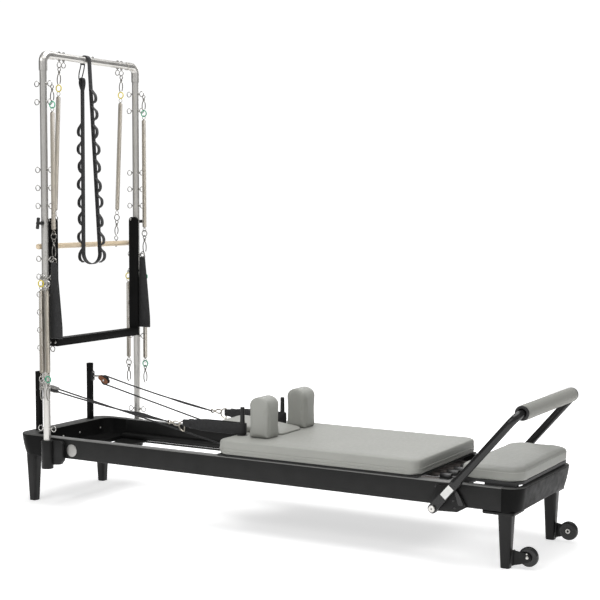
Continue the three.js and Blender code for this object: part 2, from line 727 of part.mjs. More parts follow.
// The foot bar's frame in its own turned axes: X runs up the arms from the pivot.
function footbarFrame() {
  const armTop = FOOTBAR_LENGTH - FOOTBAR_BEND;
  const tubeStart = FOOTBAR_FLAT_LENGTH - 30;
  const along = vector(1, 0, 0);
  const left = vector(0, -1, 0);
  const right = vector(0, 1, 0);
  const bendY = FOOTBAR_ARM_Y - FOOTBAR_BEND;
  const nearBend = arc(vector(armTop, -bendY, 0), left, along, FOOTBAR_BEND, 5);
  const farBend = arc(vector(armTop, bendY, 0), right, along, FOOTBAR_BEND, 5).reverse();
  const route = [vector(tubeStart, -FOOTBAR_ARM_Y, 0), ...nearBend];
  route.push(...farBend, vector(tubeStart, FOOTBAR_ARM_Y, 0));
  const bow = tube(route, TUBE_RADIUS, 12);
  const arms = [-1, 1].map((side) => {
    const arm = roundedRectangle(-18, FOOTBAR_FLAT_LENGTH, -18, 18, 16);
    const [y0, y1] = span(side, FOOTBAR_ARM_Y - 14, FOOTBAR_ARM_Y + 8);
    return slab(arm, y0, y1, 4);
  });
  const bores = rod(8.5, vector(0, -400, 0), vector(0, 400, 0), 14);
  return cut(joined(bow, ...arms), bores);
}

function footbarGrip() {
  const sleeve = rod(GRIP_RADIUS, vector(0, -GRIP_HALF_LENGTH, 0), vector(0, GRIP_HALF_LENGTH, 0), 20);
  const bore = rod(TUBE_RADIUS + GAP, vector(0, -400, 0), vector(0, 400, 0), 20);
  return cut(sleeve, bore);
}

// Arm that holds a transport wheel from its outer side, with a flange on the leg and a shouldered axle.
function casterFork(side) {
  const outer = CASTER_Y + CASTER_WIDTH / 2 + 3;
  const inner = CASTER_Y - CASTER_WIDTH / 2 - 1;
  const cheek = new THREE.Shape();
  cheek.moveTo(-58, -37);
  cheek.lineTo(-28, -29);
  cheek.absarc(-4, -2, 18, -Math.PI / 2.4, Math.PI / 2);
  cheek.lineTo(-28, 19);
  cheek.lineTo(-58, 22);
  const [y0, y1] = span(side, outer, outer + 5);
  const flange = block(-59, -53, ...span(side, outer - 13, outer + 13), -36, 21);
  const axle = rod(5, vector(0, side * (inner - 3), 0), vector(0, side * (outer + 6), 0), 12);
  const shoulder = rod(9, vector(0, side * (inner - 3), 0), vector(0, side * (inner - 0.5), 0), 14);
  return joined(slab(cheek, y0, y1, 3), flange, axle, shoulder);
}

function footEnd() {
  add('platform_board', platformBoard(), BOARD);
  const platform = pad(PLATFORM_HEAD_X, PLATFORM_FOOT_X, -PLATFORM_HALF_Y, PLATFORM_HALF_Y,
    PLATFORM_BOTTOM_Z, PLATFORM_TOP_Z, 62, 8);
  add('platform_cushion', platform, UPHOLSTERY);
  add('spring_bar', springBar(), BLACK_PAINT);

  const footbar = new THREE.Group();
  footbar.position.set(FOOTBAR_PIVOT_X, 0, FOOTBAR_PIVOT_Z);
  footbar.rotation.y = -FOOTBAR_ANGLE;
  const frameMesh = new THREE.Mesh(footbarFrame(), BLACK_PAINT);
  frameMesh.name = 'footbar_frame';
  const gripMesh = new THREE.Mesh(footbarGrip(), FOAM);
  gripMesh.name = 'footbar_grip';
  gripMesh.position.x = FOOTBAR_LENGTH;
  footbar.add(frameMesh, gripMesh);
  reformer.add(footbar);

  for (const [name, side] of SIDES) {
    add(`footbar_bracket_${name}`, footbarBracket(side), BLACK_PAINT, FOOTBAR_PIVOT_X, 0, FOOTBAR_PIVOT_Z);
    add(`caster_fork_${name}`, casterFork(side), BLACK_PAINT, CASTER_X, 0, CASTER_Z);
    const wheel = ring(CASTER_RADIUS, 5.4, CASTER_WIDTH, 28);
    add(`caster_wheel_${name}`, wheel, RUBBER, CASTER_X, side * CASTER_Y, CASTER_Z);
  }
}

// ---------- tower accessories ----------

function roundedTop(half, z0, z1, corner) {
  const shape = new THREE.Shape();
  shape.moveTo(-half, z0);
  shape.lineTo(half, z0);
  shape.absarc(half - corner, z1 - corner, corner, 0, Math.PI / 2);
  shape.absarc(-half + corner, z1 - corner, corner, Math.PI / 2, Math.PI);
  return shape;
}

function pushThroughBar() {
  const half = PUSH_BAR_WIDTH / 2;
  const arms = [-1, 1].map((side) => {
    const [y0, y1] = span(side, PUSH_BAR_Y - PUSH_BAR_THICKNESS / 2, PUSH_BAR_Y + PUSH_BAR_THICKNESS / 2);
    return slab(roundedTop(half, PUSH_BAR_BOTTOM_Z, PUSH_BAR_TOP_Z, 18), y0, y1, 5);
  });
  const cross = block(-half, half, -PUSH_BAR_Y, PUSH_BAR_Y, PUSH_BAR_BOTTOM_Z, PUSH_BAR_BOTTOM_Z + 34);
  const pivotX = TOWER_X - PUSH_BAR_X;
  const nearPin = rod(PIVOT_RADIUS, vector(pivotX, -TOWER_Y - TUBE_RADIUS, PUSH_PIVOT_Z),
    vector(pivotX, -PUSH_BAR_Y, PUSH_PIVOT_Z), 16);
  const farPin = rod(PIVOT_RADIUS, vector(pivotX, PUSH_BAR_Y, PUSH_PIVOT_Z),
    vector(pivotX, KNOB_END_Y, PUSH_PIVOT_Z), 16);
  return joined(...arms, cross, nearPin, farPin);
}

function lockKnob() {
  const face = -TUBE_RADIUS - GAP;
  const teeRadius = 8;
  const teeY = TOWER_Y - KNOB_END_Y + teeRadius;
  const stem = rod(7, vector(0, face, 0), vector(0, teeY, 0), 12);
  const tee = rod(teeRadius, vector(0, teeY, -26), vector(0, teeY, 26), 12);
  return joined(stem, tee);
}

// A closed coil spring drawn as its envelope, with thin hooks at both ends.
function hangingSpring(length, bodyStart, bodyEnd, radius) {
  const hook = 2.5;
  const cone = 14;
  const profile = [
    [0, -length],
    [hook, -length],
    [hook, -bodyEnd],
    [radius, -bodyEnd + cone],
    [radius, -bodyStart - cone],
    [hook, -bodyStart],
    [hook, 0],
    [0, 0],
  ];
  return turned(profile, 12);
}

function rollDownBar() {
  const tilt = Math.atan2(TOWER_X - DOWEL_X, HANG_Z - DOWEL_Z);
  const length = Math.hypot(TOWER_X - DOWEL_X, HANG_Z - DOWEL_Z) - DOWEL_RADIUS - GAP;
  for (const [name, side] of SIDES) {
    const spring = hangingSpring(length, 128, 648, SPRING_RADIUS);
    const mesh = add(`roll_down_spring_${name}`, spring, SPRING_NICKEL, TOWER_X, side * HANG_Y, HANG_Z);
    mesh.rotation.y = tilt;
  }
  const dowel = rod(DOWEL_RADIUS, vector(0, -DOWEL_HALF_LENGTH, 0), vector(0, DOWEL_HALF_LENGTH, 0), 16);
  add('roll_down_bar', dowel, BEECH, DOWEL_X, 0, DOWEL_Z);
}

// Hand loop below an upper spring, folded flat; the far one hangs in front of a lower spring.
function upperStrap(side) {
  const shape = outline([[-8, 0], [8, 0], [44, -330], [40, -344], [-24, -344], [-28, -330]]);
  return side > 0 ? slab(shape, -24, -14) : slab(shape, -7, 7);
}

function towerSprings() {
  const upperX = TOWER_X + EYELET_REACH;
  const upperZ = 1886;
  const upperLength = 768;
  for (const [name, side] of SIDES) {
    const upper = hangingSpring(upperLength, 118, 644, SPRING_RADIUS);
    add(`upper_spring_${name}`, upper, SPRING_NICKEL, upperX, side * TOWER_Y, upperZ);
    const strap = upperStrap(side);
    add(`tower_strap_${name}`, strap, WEBBING, upperX, side * TOWER_Y, upperZ - upperLength - GAP);
  }
  const lowerZ = 1031;
  const lower = () => hangingSpring(532, 46, 432, SPRING_RADIUS);
  const nearY = -(TOWER_Y + 30);
  add('lower_spring_near_head', lower(), SPRING_NICKEL, TOWER_X - 1, nearY, lowerZ);
  add('lower_spring_near_foot', lower(), SPRING_NICKEL, TOWER_X + 28, nearY, lowerZ);
  add('lower_spring_far_head', lower(), SPRING_NICKEL, TOWER_X - EYELET_REACH, TOWER_Y, lowerZ);
  add('lower_spring_far_foot', lower(), SPRING_NICKEL, TOWER_X + EYELET_REACH, TOWER_Y, lowerZ);
}

// Webbing loop hung over the crossbar, opening out towards its lower bend.
function loopStrap() {
  const inner = TUBE_RADIUS + 1;
  const outer = inner + WEBBING_THICKNESS;
  const drop = WEBBING_BOTTOM_Z - CROSSBAR_Z;
  const spread = WEBBING_HALF_SPREAD;
  const bendZ = drop + spread + WEBBING_THICKNESS;
  const shape = new THREE.Shape();
  shape.absarc(0, 0, outer, 0, Math.PI);
  shape.absarc(WEBBING_LEAN, bendZ, spread + WEBBING_THICKNESS, Math.PI, Math.PI * 2);
  const hole = new THREE.Path();
  hole.absarc(0, 0, inner, 0, Math.PI);
  hole.absarc(WEBBING_LEAN, bendZ, spread, Math.PI, Math.PI * 2);
  shape.holes.push(hole);
  return slab(shape, -WEBBING_WIDTH / 2, WEBBING_WIDTH / 2, 8);
}

function towerGear() {
  add('push_through_bar', pushThroughBar(), BLACK_PAINT, PUSH_BAR_X, 0, 0);
  const knob = add('lock_knob', lockKnob(), PLASTIC, TOWER_X, -TOWER_Y, PUSH_PIVOT_Z);
  knob.rotation.y = THREE.MathUtils.degToRad(8);
  rollDownBar();
  towerSprings();
  add('loop_strap', loopStrap(), WEBBING, TOWER_X, WEBBING_Y, CROSSBAR_Z);
}

frame();
tower();
ropeGear();
carriage();
footEnd();
towerGear();

export default reformer;
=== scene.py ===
from math import copysign, cos, hypot, pi, radians, sin, tau

import bmesh
import bpy
from mathutils import Matrix, Vector
from mathutils.bvhtree import BVHTree


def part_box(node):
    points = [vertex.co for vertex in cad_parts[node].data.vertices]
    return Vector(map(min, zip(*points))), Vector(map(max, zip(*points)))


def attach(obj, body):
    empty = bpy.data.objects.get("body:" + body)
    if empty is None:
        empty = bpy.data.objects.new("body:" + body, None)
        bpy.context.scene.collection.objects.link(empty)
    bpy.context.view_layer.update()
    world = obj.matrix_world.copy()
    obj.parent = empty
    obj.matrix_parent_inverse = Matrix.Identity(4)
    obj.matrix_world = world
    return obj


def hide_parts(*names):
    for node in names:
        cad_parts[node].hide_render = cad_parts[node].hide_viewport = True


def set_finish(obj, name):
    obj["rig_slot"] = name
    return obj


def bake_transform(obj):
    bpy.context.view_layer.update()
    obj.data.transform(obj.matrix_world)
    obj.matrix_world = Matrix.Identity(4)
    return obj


# Pilates reformer with a half-trapeze tower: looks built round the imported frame.
# Metres, +X towards the foot end, +Y to the far side, +Z up.

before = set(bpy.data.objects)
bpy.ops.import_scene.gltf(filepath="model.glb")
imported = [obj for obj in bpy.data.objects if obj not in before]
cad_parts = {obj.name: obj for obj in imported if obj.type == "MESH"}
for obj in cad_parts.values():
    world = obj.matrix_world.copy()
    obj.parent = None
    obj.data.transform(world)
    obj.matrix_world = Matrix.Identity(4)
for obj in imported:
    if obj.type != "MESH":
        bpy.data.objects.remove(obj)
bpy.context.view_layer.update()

X_AXIS = Vector((1, 0, 0))
Y_AXIS = Vector((0, 1, 0))
Z_AXIS = Vector((0, 0, 1))
DOWN = -Z_AXIS
SIDES = (("near", -1), ("far", 1))
MM = 0.001

# Places that other measures follow, in millimetres, as the CAD has them.
TOWER_X = -1040
TOWER_Y = 338
CROSSBAR_Z = 2024
HANGER_X = TOWER_X + 50
PUSH_BAR_X = -1027
PUSH_BAR_Y = 300
PUSH_PIVOT_Z = 1280
RISER_X = -1214
RISER_Y = 188
RISER_WIDTH = 25
PULLEY_X = -1122
PULLEY_Z = 511
PULLEY_TILT = radians(14)
STRAP_RING_X = -415
LOOP_Y = -40
RAIL_Y = 308
RAIL_TOP_Z = 314
RAIL_BOTTOM_Z = 224
FOOT_PIVOT_X = 853
FOOT_PIVOT_Z = 213

# The camera, solved from the photo's straight edges, and the level direction that it looks in.
CAMERA_YAW = radians(-29.713)
CAMERA_PITCH = radians(4.196)
CAMERA_ROLL = radians(0.132)
CAMERA_PLACE = (2.927, -4.997, 1.381)
CAMERA_LENS = 80.96
AHEAD = (sin(CAMERA_YAW), cos(CAMERA_YAW), 0)


def mm(x, y, z):
    return Vector((x, y, z)) * MM


# ---------- stage ----------

def set_camera():
    yaw, pitch, roll = CAMERA_YAW, CAMERA_PITCH, CAMERA_ROLL
    ahead = Vector((sin(yaw) * cos(pitch), cos(yaw) * cos(pitch), -sin(pitch)))
    level = Vector((cos(yaw), -sin(yaw), 0))
    above = level.cross(ahead)
    right = cos(roll) * level + sin(roll) * above
    up = -sin(roll) * level + cos(roll) * above
    data = bpy.data.cameras.new("photo_camera")
    data.sensor_fit = "HORIZONTAL"
    data.sensor_width = 36
    data.lens = CAMERA_LENS
    data.clip_end = 60
    camera = bpy.data.objects.new("photo_camera", data)
    place = Matrix((right, up, -ahead)).transposed().to_4x4()
    place.translation = Vector(CAMERA_PLACE)
    camera.matrix_world = place
    bpy.context.scene.collection.objects.link(camera)
    bpy.context.scene.camera = camera


def area_light(name, place, target, size, power):
    data = bpy.data.lights.new(name, "AREA")
    data.shape = "RECTANGLE"
    data.size = size[0]
    data.size_y = size[1]
    data.energy = power
    light = bpy.data.objects.new(name, data)
    light.location = place
    aim = Vector(target) - Vector(place)
    light.rotation_euler = aim.to_track_quat("-Z", "Y").to_euler()
    bpy.context.scene.collection.objects.link(light)


# Strength of the studio round the object, from behind the camera (0) to straight ahead (1).
STUDIO_STOPS = ((0.10, 0.46), (0.50, 0.26), (0.74, 0.12), (0.92, 0.14), (1.0, 0.85))


def set_world():
    """A plain white backdrop, and a studio for reflections that is dim to the sides."""
    world = bpy.data.worlds.new("studio")
    bpy.context.scene.world = world
    world.use_nodes = True
    tree = world.node_tree
    sky = tree.nodes["Background"]
    sky.inputs["Color"].default_value = (1, 1, 1, 1)
    direction = tree.nodes.new("ShaderNodeTexCoord")
    facing = tree.nodes.new("ShaderNodeVectorMath")
    facing.operation = "DOT_PRODUCT"
    facing.inputs[1].default_value = AHEAD
    tree.links.new(direction.outputs["Generated"], facing.inputs[0])
    share = tree.nodes.new("ShaderNodeMapRange")
    share.inputs["From Min"].default_value = -1
    tree.links.new(facing.outputs["Value"], share.inputs["Value"])
    studio = tree.nodes.new("ShaderNodeValToRGB")
    stops = studio.color_ramp.elements
    while len(stops) < len(STUDIO_STOPS):
        stops.new(0.5)
    for stop, (place, strength) in zip(stops, STUDIO_STOPS):
        stop.position = place
        stop.color = (strength, strength, strength, 1)
    tree.links.new(share.outputs["Result"], studio.inputs["Fac"])
    rays = tree.nodes.new("ShaderNodeLightPath")
    chosen = tree.nodes.new("ShaderNodeMix")
    chosen.data_type = "FLOAT"
    tree.links.new(rays.outputs["Is Camera Ray"], chosen.inputs[0])
    tree.links.new(studio.outputs["Color"], chosen.inputs[2])
    chosen.inputs[3].default_value = 1.05
    tree.links.new(chosen.outputs[0], sky.inputs["Strength"])


def set_lights():
    area_light("key", (-1.2, -4.2, 4.0), (0, 0, 0.5), (3.2, 2.2), 62)
    area_light("top", (0.2, 0.2, 4.6), (0, 0, 0), (4.5, 3.0), 165)
    area_light("right", (4.6, -0.6, 2.4), (0, 0, 0.5), (2.2, 2.2), 5)
    area_light("behind", (-1.0, 4.6, 3.2), (0, 0, 0.7), (3.0, 2.0), 40)
    bpy.context.scene.view_settings.view_transform = "Standard"


# ---------- materials ----------

class Surface:
    """A node material put together step by step."""

    def __init__(self, name, color, roughness, metallic=0.0, slot=None):
        self.material = bpy.data.materials.new(f"{name}_finish")
        self.material["slot"] = slot or name
        self.material.use_nodes = True
        self.tree = self.material.node_tree
        self.shader = self.tree.nodes["Principled BSDF"]
        self.put(self.shader, "Base Color", (*color, 1))
        self.put(self.shader, "Roughness", roughness)
        self.put(self.shader, "Metallic", metallic)
        self.color = color
        coordinates = self.tree.nodes.new("ShaderNodeTexCoord")
        self.object_place = coordinates.outputs["Object"]
        self.length_place = coordinates.outputs["UV"]

    def put(self, node, socket, value):
        node.inputs[socket].default_value = value

    def set(self, socket, value):
        self.put(self.shader, socket, value)
        return self

    def node(self, kind, **settings):
        made = self.tree.nodes.new(kind)
        for key, value in settings.items():
            setattr(made, key, value)
        return made

    def link(self, output, node, socket):
        self.tree.links.new(output, node.inputs[socket])

    def stretched(self, scale=(1, 1, 1), turn=(0, 0, 0), source=None):
        mapping = self.node("ShaderNodeMapping")
        self.put(mapping, "Scale", scale)
        self.put(mapping, "Rotation", turn)
        self.link(source or self.object_place, mapping, "Vector")
        return mapping.outputs["Vector"]

    def noise(self, scale, detail=2.0, place=None):
        texture = self.node("ShaderNodeTexNoise")
        self.put(texture, "Scale", scale)
        self.put(texture, "Detail", detail)
        self.link(place or self.object_place, texture, "Vector")
        return texture.outputs["Fac"]

    def cells(self, scale, place=None):
        texture = self.node("ShaderNodeTexVoronoi")
        self.put(texture, "Scale", scale)
        self.link(place or self.object_place, texture, "Vector")
        return texture.outputs["Distance"]

    def wave(self, scale, direction, place, distortion=0.0):
        texture = self.node("ShaderNodeTexWave", bands_direction=direction)
        self.put(texture, "Scale", scale)
        self.put(texture, "Distortion", distortion)
        self.link(place, texture, "Vector")
        return texture.outputs["Fac"]

    def combined(self, operation, first, second):
        maths = self.node("ShaderNodeMath", operation=operation)
        for index, value in enumerate((first, second)):
            if isinstance(value, (int, float)):
                maths.inputs[index].default_value = value
            else:
                self.tree.links.new(value, maths.inputs[index])
        return maths.outputs[0]

    def tint(self, amount, dark, light, low=0.3, high=0.7):
        ramp = self.node("ShaderNodeValToRGB")
        ramp.color_ramp.elements[0].position = low
        ramp.color_ramp.elements[0].color = (*dark, 1)
        ramp.color_ramp.elements[1].position = high
        ramp.color_ramp.elements[1].color = (*light, 1)
        self.link(amount, ramp, "Fac")
        self.link(ramp.outputs["Color"], self.shader, "Base Color")
        return self

    def shade(self, amount, darker, lighter, low=0.3, high=0.7):
        dark = tuple(c * darker for c in self.color)
        light = tuple(min(1, c * lighter) for c in self.color)
        return self.tint(amount, dark, light, low, high)

    def gloss(self, amount, low, high):
        span = self.node("ShaderNodeMapRange")
        self.put(span, "From Min", 0.3)
        self.put(span, "From Max", 0.7)
        self.put(span, "To Min", low)
        self.put(span, "To Max", high)
        self.link(amount, span, "Value")
        self.link(span.outputs["Result"], self.shader, "Roughness")
        return self

    def paint_top_sheen(self, height, color):
        """A paler coat on the level faces above a height: a painted sheen in place of the bright backdrop
        that these faces reflect.
        """
        coordinates = self.node("ShaderNodeTexCoord")
        upright, place = self.node("ShaderNodeSeparateXYZ"), self.node("ShaderNodeSeparateXYZ")
        self.link(coordinates.outputs["Normal"], upright, "Vector")
        self.link(self.object_place, place, "Vector")
        level = self.combined("GREATER_THAN", upright.outputs["Z"], 0.35)
        high = self.combined("GREATER_THAN", place.outputs["Z"], height)
        mix = self.node("ShaderNodeMix", data_type="RGBA")
        self.link(self.combined("MULTIPLY", level, high), mix, 0)
        self.link(self.shader.inputs["Base Color"].links[0].from_socket, mix, 6)
        self.put(mix, 7, (*color, 1))
        self.link(mix.outputs[2], self.shader, "Base Color")

    def relief(self, height, depth, strength=1.0):
        bump = self.node("ShaderNodeBump")
        self.put(bump, "Strength", strength)
        self.put(bump, "Distance", depth)
        self.link(height, bump, "Height")
        above = self.shader.inputs["Normal"]
        if above.is_linked:
            self.link(above.links[0].from_socket, bump, "Normal")
        self.link(bump.outputs["Normal"], self.shader, "Normal")
        return self


def powder_coat(name, color, roughness, shine=0.24, sheen_tint=None, slot=None):
    surface = Surface(name, color, roughness, slot=slot)
    surface.set("Specular IOR Level", shine)
    surface.shade(surface.noise(14, 4), 0.85, 1.2)
    # A paler colour on level faces high up paints the sheen that their grazing reflection would give.
    if sheen_tint:
        surface.paint_top_sheen(SHEEN_HEIGHT, sheen_tint)
    surface.gloss(surface.noise(30, 3), roughness - 0.05, roughness + 0.08)
    surface.relief(surface.noise(900, 1), 0.0002, 0.35)
    return surface.material


def bare_metal(name, color, roughness, grain, coarse, scratch=0.25, slot=None):
    surface = Surface(name, color, roughness, 1.0, slot)
    brushing = surface.noise(1, 3, surface.stretched(grain))
    surface.shade(surface.noise(coarse, 3), 0.95, 1.04)
    surface.gloss(brushing, roughness - 0.03, roughness + 0.04)
    surface.relief(brushing, 0.0001, scratch)
    return surface.material


def vinyl(name, color, slot=None):
    surface = Surface(name, color, 0.5, slot=slot)
    surface.set("Specular IOR Level", 0.42)
    surface.set("Sheen Weight", 0.12)
    surface.set("Sheen Roughness", 0.5)
    surface.shade(surface.noise(5, 4), 0.965, 1.035)
    surface.gloss(surface.noise(60, 3), 0.44, 0.58)
    surface.relief(surface.cells(620), 0.0004, 0.32)
    surface.relief(surface.noise(190, 3), 0.0005, 0.18)
    return surface.material


def foam(name, color):
    surface = Surface(name, color, 0.82)
    surface.shade(surface.noise(420, 2), 0.9, 1.08)
    surface.gloss(surface.noise(25, 3), 0.76, 0.88)
    surface.relief(surface.cells(520), 0.0006, 0.4)
    return surface.material


def webbing(name, color, pitch=0.0022):
    """Flat woven tape: its thread crossings follow the length and width written on the piece."""
    surface = Surface(name, color, 0.72)
    surface.set("Sheen Weight", 0.25)
    surface.set("Sheen Roughness", 0.4)
    turned = surface.stretched((1, 1, 1), (0, 0, radians(45)), surface.length_place)
    warp = surface.wave(0.32 / pitch, "X", turned)
    weft = surface.wave(0.32 / pitch, "Y", turned)
    weave = surface.combined("MULTIPLY", warp, weft)
    surface.shade(weave, 0.55, 1.7, 0.0, 0.6)
    surface.gloss(surface.noise(90, 2), 0.62, 0.8)
    surface.relief(weave, 0.0005, 0.6)
    return surface.material


def beech(name, color):
    surface = Surface(name, color, 0.42)
    along = surface.stretched((60, 2.2, 60))
    grain = surface.noise(1, 5, along)
    rings = surface.wave(0.35, "Z", surface.stretched((60, 1.2, 60)), 3.0)
    figure = surface.combined("ADD", surface.combined("MULTIPLY", grain, 0.75),
                              surface.combined("MULTIPLY", rings, 0.25))
    surface.shade(figure, 0.8, 1.12, 0.3, 0.68)
    surface.set("Coat Weight", 0.25)
    surface.set("Coat Roughness", 0.25)
    flecks = surface.noise(1, 2, surface.stretched((420, 30, 420)))
    surface.gloss(flecks, 0.36, 0.5)
    surface.relief(flecks, 0.0002, 0.2)
    return surface.material


def moulded(name, color, roughness, texture=700):
    surface = Surface(name, color, roughness)
    surface.shade(surface.noise(20, 3), 0.9, 1.12)
    surface.gloss(surface.noise(35, 3), roughness - 0.06, roughness + 0.08)
    surface.relief(surface.noise(texture, 1), 0.0002, 0.3)
    return surface.material


def painted_board(name, color):
    surface = Surface(name, color, 0.55)
    grain = surface.noise(1, 4, surface.stretched((3, 90, 90)))
    surface.shade(grain, 0.8, 1.3)
    surface.gloss(grain, 0.48, 0.64)
    surface.relief(grain, 0.0003, 0.3)
    return surface.material


# Above this height, in metres, level faces get a painted sheen: a paler coat in place of the reflection of
# the backdrop.
SHEEN_HEIGHT = 0.309

BLACK = powder_coat("frame_black", (0.010, 0.010, 0.0098), 0.38)
CAST_BLACK = powder_coat("casting_black", (0.0065, 0.0065, 0.0064), 0.42, 0.06, slot="frame_black")
# Casting rims and rails: a paler colour on their level top faces paints the sheen of the backdrop, reflected
# at a grazing angle.
RIM_BLACK = powder_coat("rim_black", (0.0065, 0.0065, 0.0064), 0.42, 0.06, (0.10, 0.10, 0.097),
                        slot="frame_black")
RAIL_BLACK = powder_coat("rail_black", (0.010, 0.010, 0.0098), 0.38, 0.24, (0.17, 0.17, 0.166),
                         slot="frame_black")
GLOSS_BLACK = powder_coat("bar_black", (0.008, 0.008, 0.008), 0.22, 0.45, slot="frame_black")
STEEL = bare_metal("tower_steel", (0.70, 0.685, 0.655), 0.37, (30, 30, 1.5), 6, 0.02)
NICKEL = bare_metal("spring_nickel", (0.43, 0.395, 0.34), 0.33, (30, 30, 1.5), 8, 0.02)
BRIGHT = bare_metal("bright_steel", (0.52, 0.51, 0.49), 0.2, (260, 260, 260), 60)
VINYL = vinyl("upholstery_grey", (0.335, 0.338, 0.312))
FIRM_VINYL = vinyl("platform_grey", (0.285, 0.288, 0.265), slot="upholstery_grey")
FOAM = foam("grip_foam", (0.31, 0.31, 0.287))
WEBBING = webbing("webbing_black", (0.014, 0.014, 0.015))
ROPE = webbing("rope_black", (0.016, 0.016, 0.017), 0.0016)
BEECH = beech("beech", (0.76, 0.62, 0.44))
RUBBER = moulded("caster_rubber", (0.012, 0.012, 0.012), 0.24, 500)
PLASTIC = moulded("plastic_black", (0.014, 0.014, 0.014), 0.34)
BRASS = bare_metal("pulley_brass", (0.21, 0.095, 0.055), 0.36, (200, 200, 200), 70)
BOARD = painted_board("board_black", (0.018, 0.018, 0.018))
SATIN = bare_metal("satin_steel", (0.40, 0.395, 0.38), 0.40, (260, 260, 260), 60, slot="bright_steel")
# A darker copy of the spring nickel: painted shade for the carriage springs, which sit in the shade of the
# cushion.
SHADED_SPRING = bare_metal("shaded_spring", (0.27, 0.245, 0.235), 0.36, (300, 300, 300), 40,
                         slot="spring_nickel")
HOOK_STEEL = bare_metal("hook_steel", (0.27, 0.26, 0.24), 0.26, (260, 260, 260), 60, 0.05,
                        slot="bright_steel")
YELLOW = moulded("coated_yellow", (0.72, 0.58, 0.03), 0.3, 300)
GREEN = moulded("coated_green", (0.04, 0.36, 0.2), 0.3, 300)
LABEL = moulded("blank_label", (0.78, 0.78, 0.76), 0.4, 300)


# ---------- shapes ----------

class Form:
    """Vertices, faces and face lengths gathered before they become one mesh."""

    def __init__(self):
        self.points = []
        self.faces = []
        self.uvs = []

    def close(self, *faces):
        """Adds faces over points that are already there."""
        self.faces.extend(faces)
        self.uvs.extend([(0.0, 0.0)] * len(face) for face in faces)

    def grid(self, rows, closed_rows, closed_columns, lengths=None):
        """A skin over rows of points; lengths gives (around, along) in metres for the weave."""
        start, count = len(self.points), len(rows[0])
        around, along = lengths or ([0.0] * (count + 1), [0.0] * (len(rows) + 1))
        self.points.extend(p for row in rows for p in row)
        last_row = len(rows) if closed_rows else len(rows) - 1
        last_column = count if closed_columns else count - 1
        for i in range(last_row):
            here, ahead = start + i * count, start + (i + 1) % len(rows) * count
            for j in range(last_column):
                nj = (j + 1) % count
                self.faces.append([here + j, here + nj, ahead + nj, ahead + j])
                self.uvs.append([(around[j], along[i]), (around[j + 1], along[i]),
                                 (around[j + 1], along[i + 1]), (around[j], along[i + 1])])
        if closed_columns and not closed_rows:
            first, last = range(start, start + count), start + (len(rows) - 1) * count
            self.close(list(first)[::-1], [last + j for j in range(count)])

    def piece(self, name, material, body=None, angle=40):
        mesh = bpy.data.meshes.new(name)
        mesh.from_pydata([tuple(p) for p in self.points], [], self.faces)
        layer = mesh.uv_layers.new(name="lengths")
        flat = [uv for face in self.uvs for uv in face]
        for loop, uv in zip(layer.data, flat):
            loop.uv = uv
        mesh.materials.append(material)
        made = bpy.data.objects.new(name, mesh)
        bpy.context.scene.collection.objects.link(made)
        turn_outwards(mesh)
        smooth(mesh, angle)
        if body:
            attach(made, body)
        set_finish(made, material["slot"])
        return made


def turn_outwards(mesh):
    shell = bmesh.new()
    shell.from_mesh(mesh)
    bmesh.ops.recalc_face_normals(shell, faces=shell.faces)
    shell.to_mesh(mesh)
    shell.free()


def smooth(mesh, angle=40):
    mesh.shade_smooth()
    mesh.set_sharp_from_angle(angle=radians(angle))


def path_frames(points, closed, up=None):
    """A tangent and two side directions at each point, carried along without twist."""
    count = len(points)
    frames = []
    side = None
    for i, point in enumerate(points):
        before = points[i - 1] if (i or closed) else point
        after = points[(i + 1) % count] if (i < count - 1 or closed) else point
        tangent = (after - before).normalized()
        if up is not None:
            side = up - tangent * up.dot(tangent)
        elif side is None:
            guess = Z_AXIS if abs(tangent.z) < 0.9 else X_AXIS
            side = guess - tangent * guess.dot(tangent)
        else:
            side = side - tangent * side.dot(tangent)
        side.normalize()
        frames.append((tangent, side.copy(), tangent.cross(side)))
    return frames


def full_turn(steps):
    return [tau * i / steps for i in range(steps)]


def on_circle(centre, first, second, radius, turn):
    return centre + first * (radius * cos(turn)) + second * (radius * sin(turn))


def shares(total, steps):
    return [total * i / steps for i in range(steps + 1)]


def distances(points, closed):
    along = [0.0]
    for a, b in zip(points, points[1:]):
        along.append(along[-1] + (b - a).length)
    along.append(along[-1] + ((points[0] - points[-1]).length if closed else 0.0))
    return along


def tube(form, points, radius, sides=8, closed=False):
    """A round bar along points; radius is one number or one per point."""
    points = [Vector(p) for p in points]
    radii = [radius] * len(points) if isinstance(radius, (int, float)) else radius
    rows = []
    for point, (_, side, other), r in zip(points, path_frames(points, closed), radii):
        rows.append([on_circle(point, side, other, r, turn) for turn in full_turn(sides)])
    form.grid(rows, closed, True, (shares(max(radii) * tau, sides), distances(points, closed)))


def tape(form, points, across, width, thickness, closed=False, crown=0.0):
    """A flat strap along points, its width lying along the direction across."""
    points = [Vector(p) for p in points]
    across = Vector(across).normalized()
    widths = [width] * len(points) if isinstance(width, (int, float)) else width
    rows = []
    for point, (_, side, normal), w in zip(points, path_frames(points, closed, across), widths):
        rows.append([point + side * u + normal * v for u, v in tape_section(w, thickness, crown)])
    section = tape_section(max(widths), thickness, crown)
    around = [0.0]
    for a, b in zip(section, section[1:] + section[:1]):
        around.append(around[-1] + hypot(b[0] - a[0], b[1] - a[1]))
    form.grid(rows, closed, True, (around, distances(points, closed)))


def tape_section(width, thickness, crown):
    half, edge = width / 2, thickness / 2
    round_in = min(edge, half * 0.5)
    middle = edge * (1 + crown)
    return [(-half, 0), (-half + round_in * 0.3, -edge * 0.7), (-half + round_in, -edge), (0, -middle),
            (half - round_in, -edge), (half - round_in * 0.3, -edge * 0.7), (half, 0),
            (half - round_in * 0.3, edge * 0.7), (half - round_in, edge), (0, middle),
            (-half + round_in, edge), (-half + round_in * 0.3, edge * 0.7)]


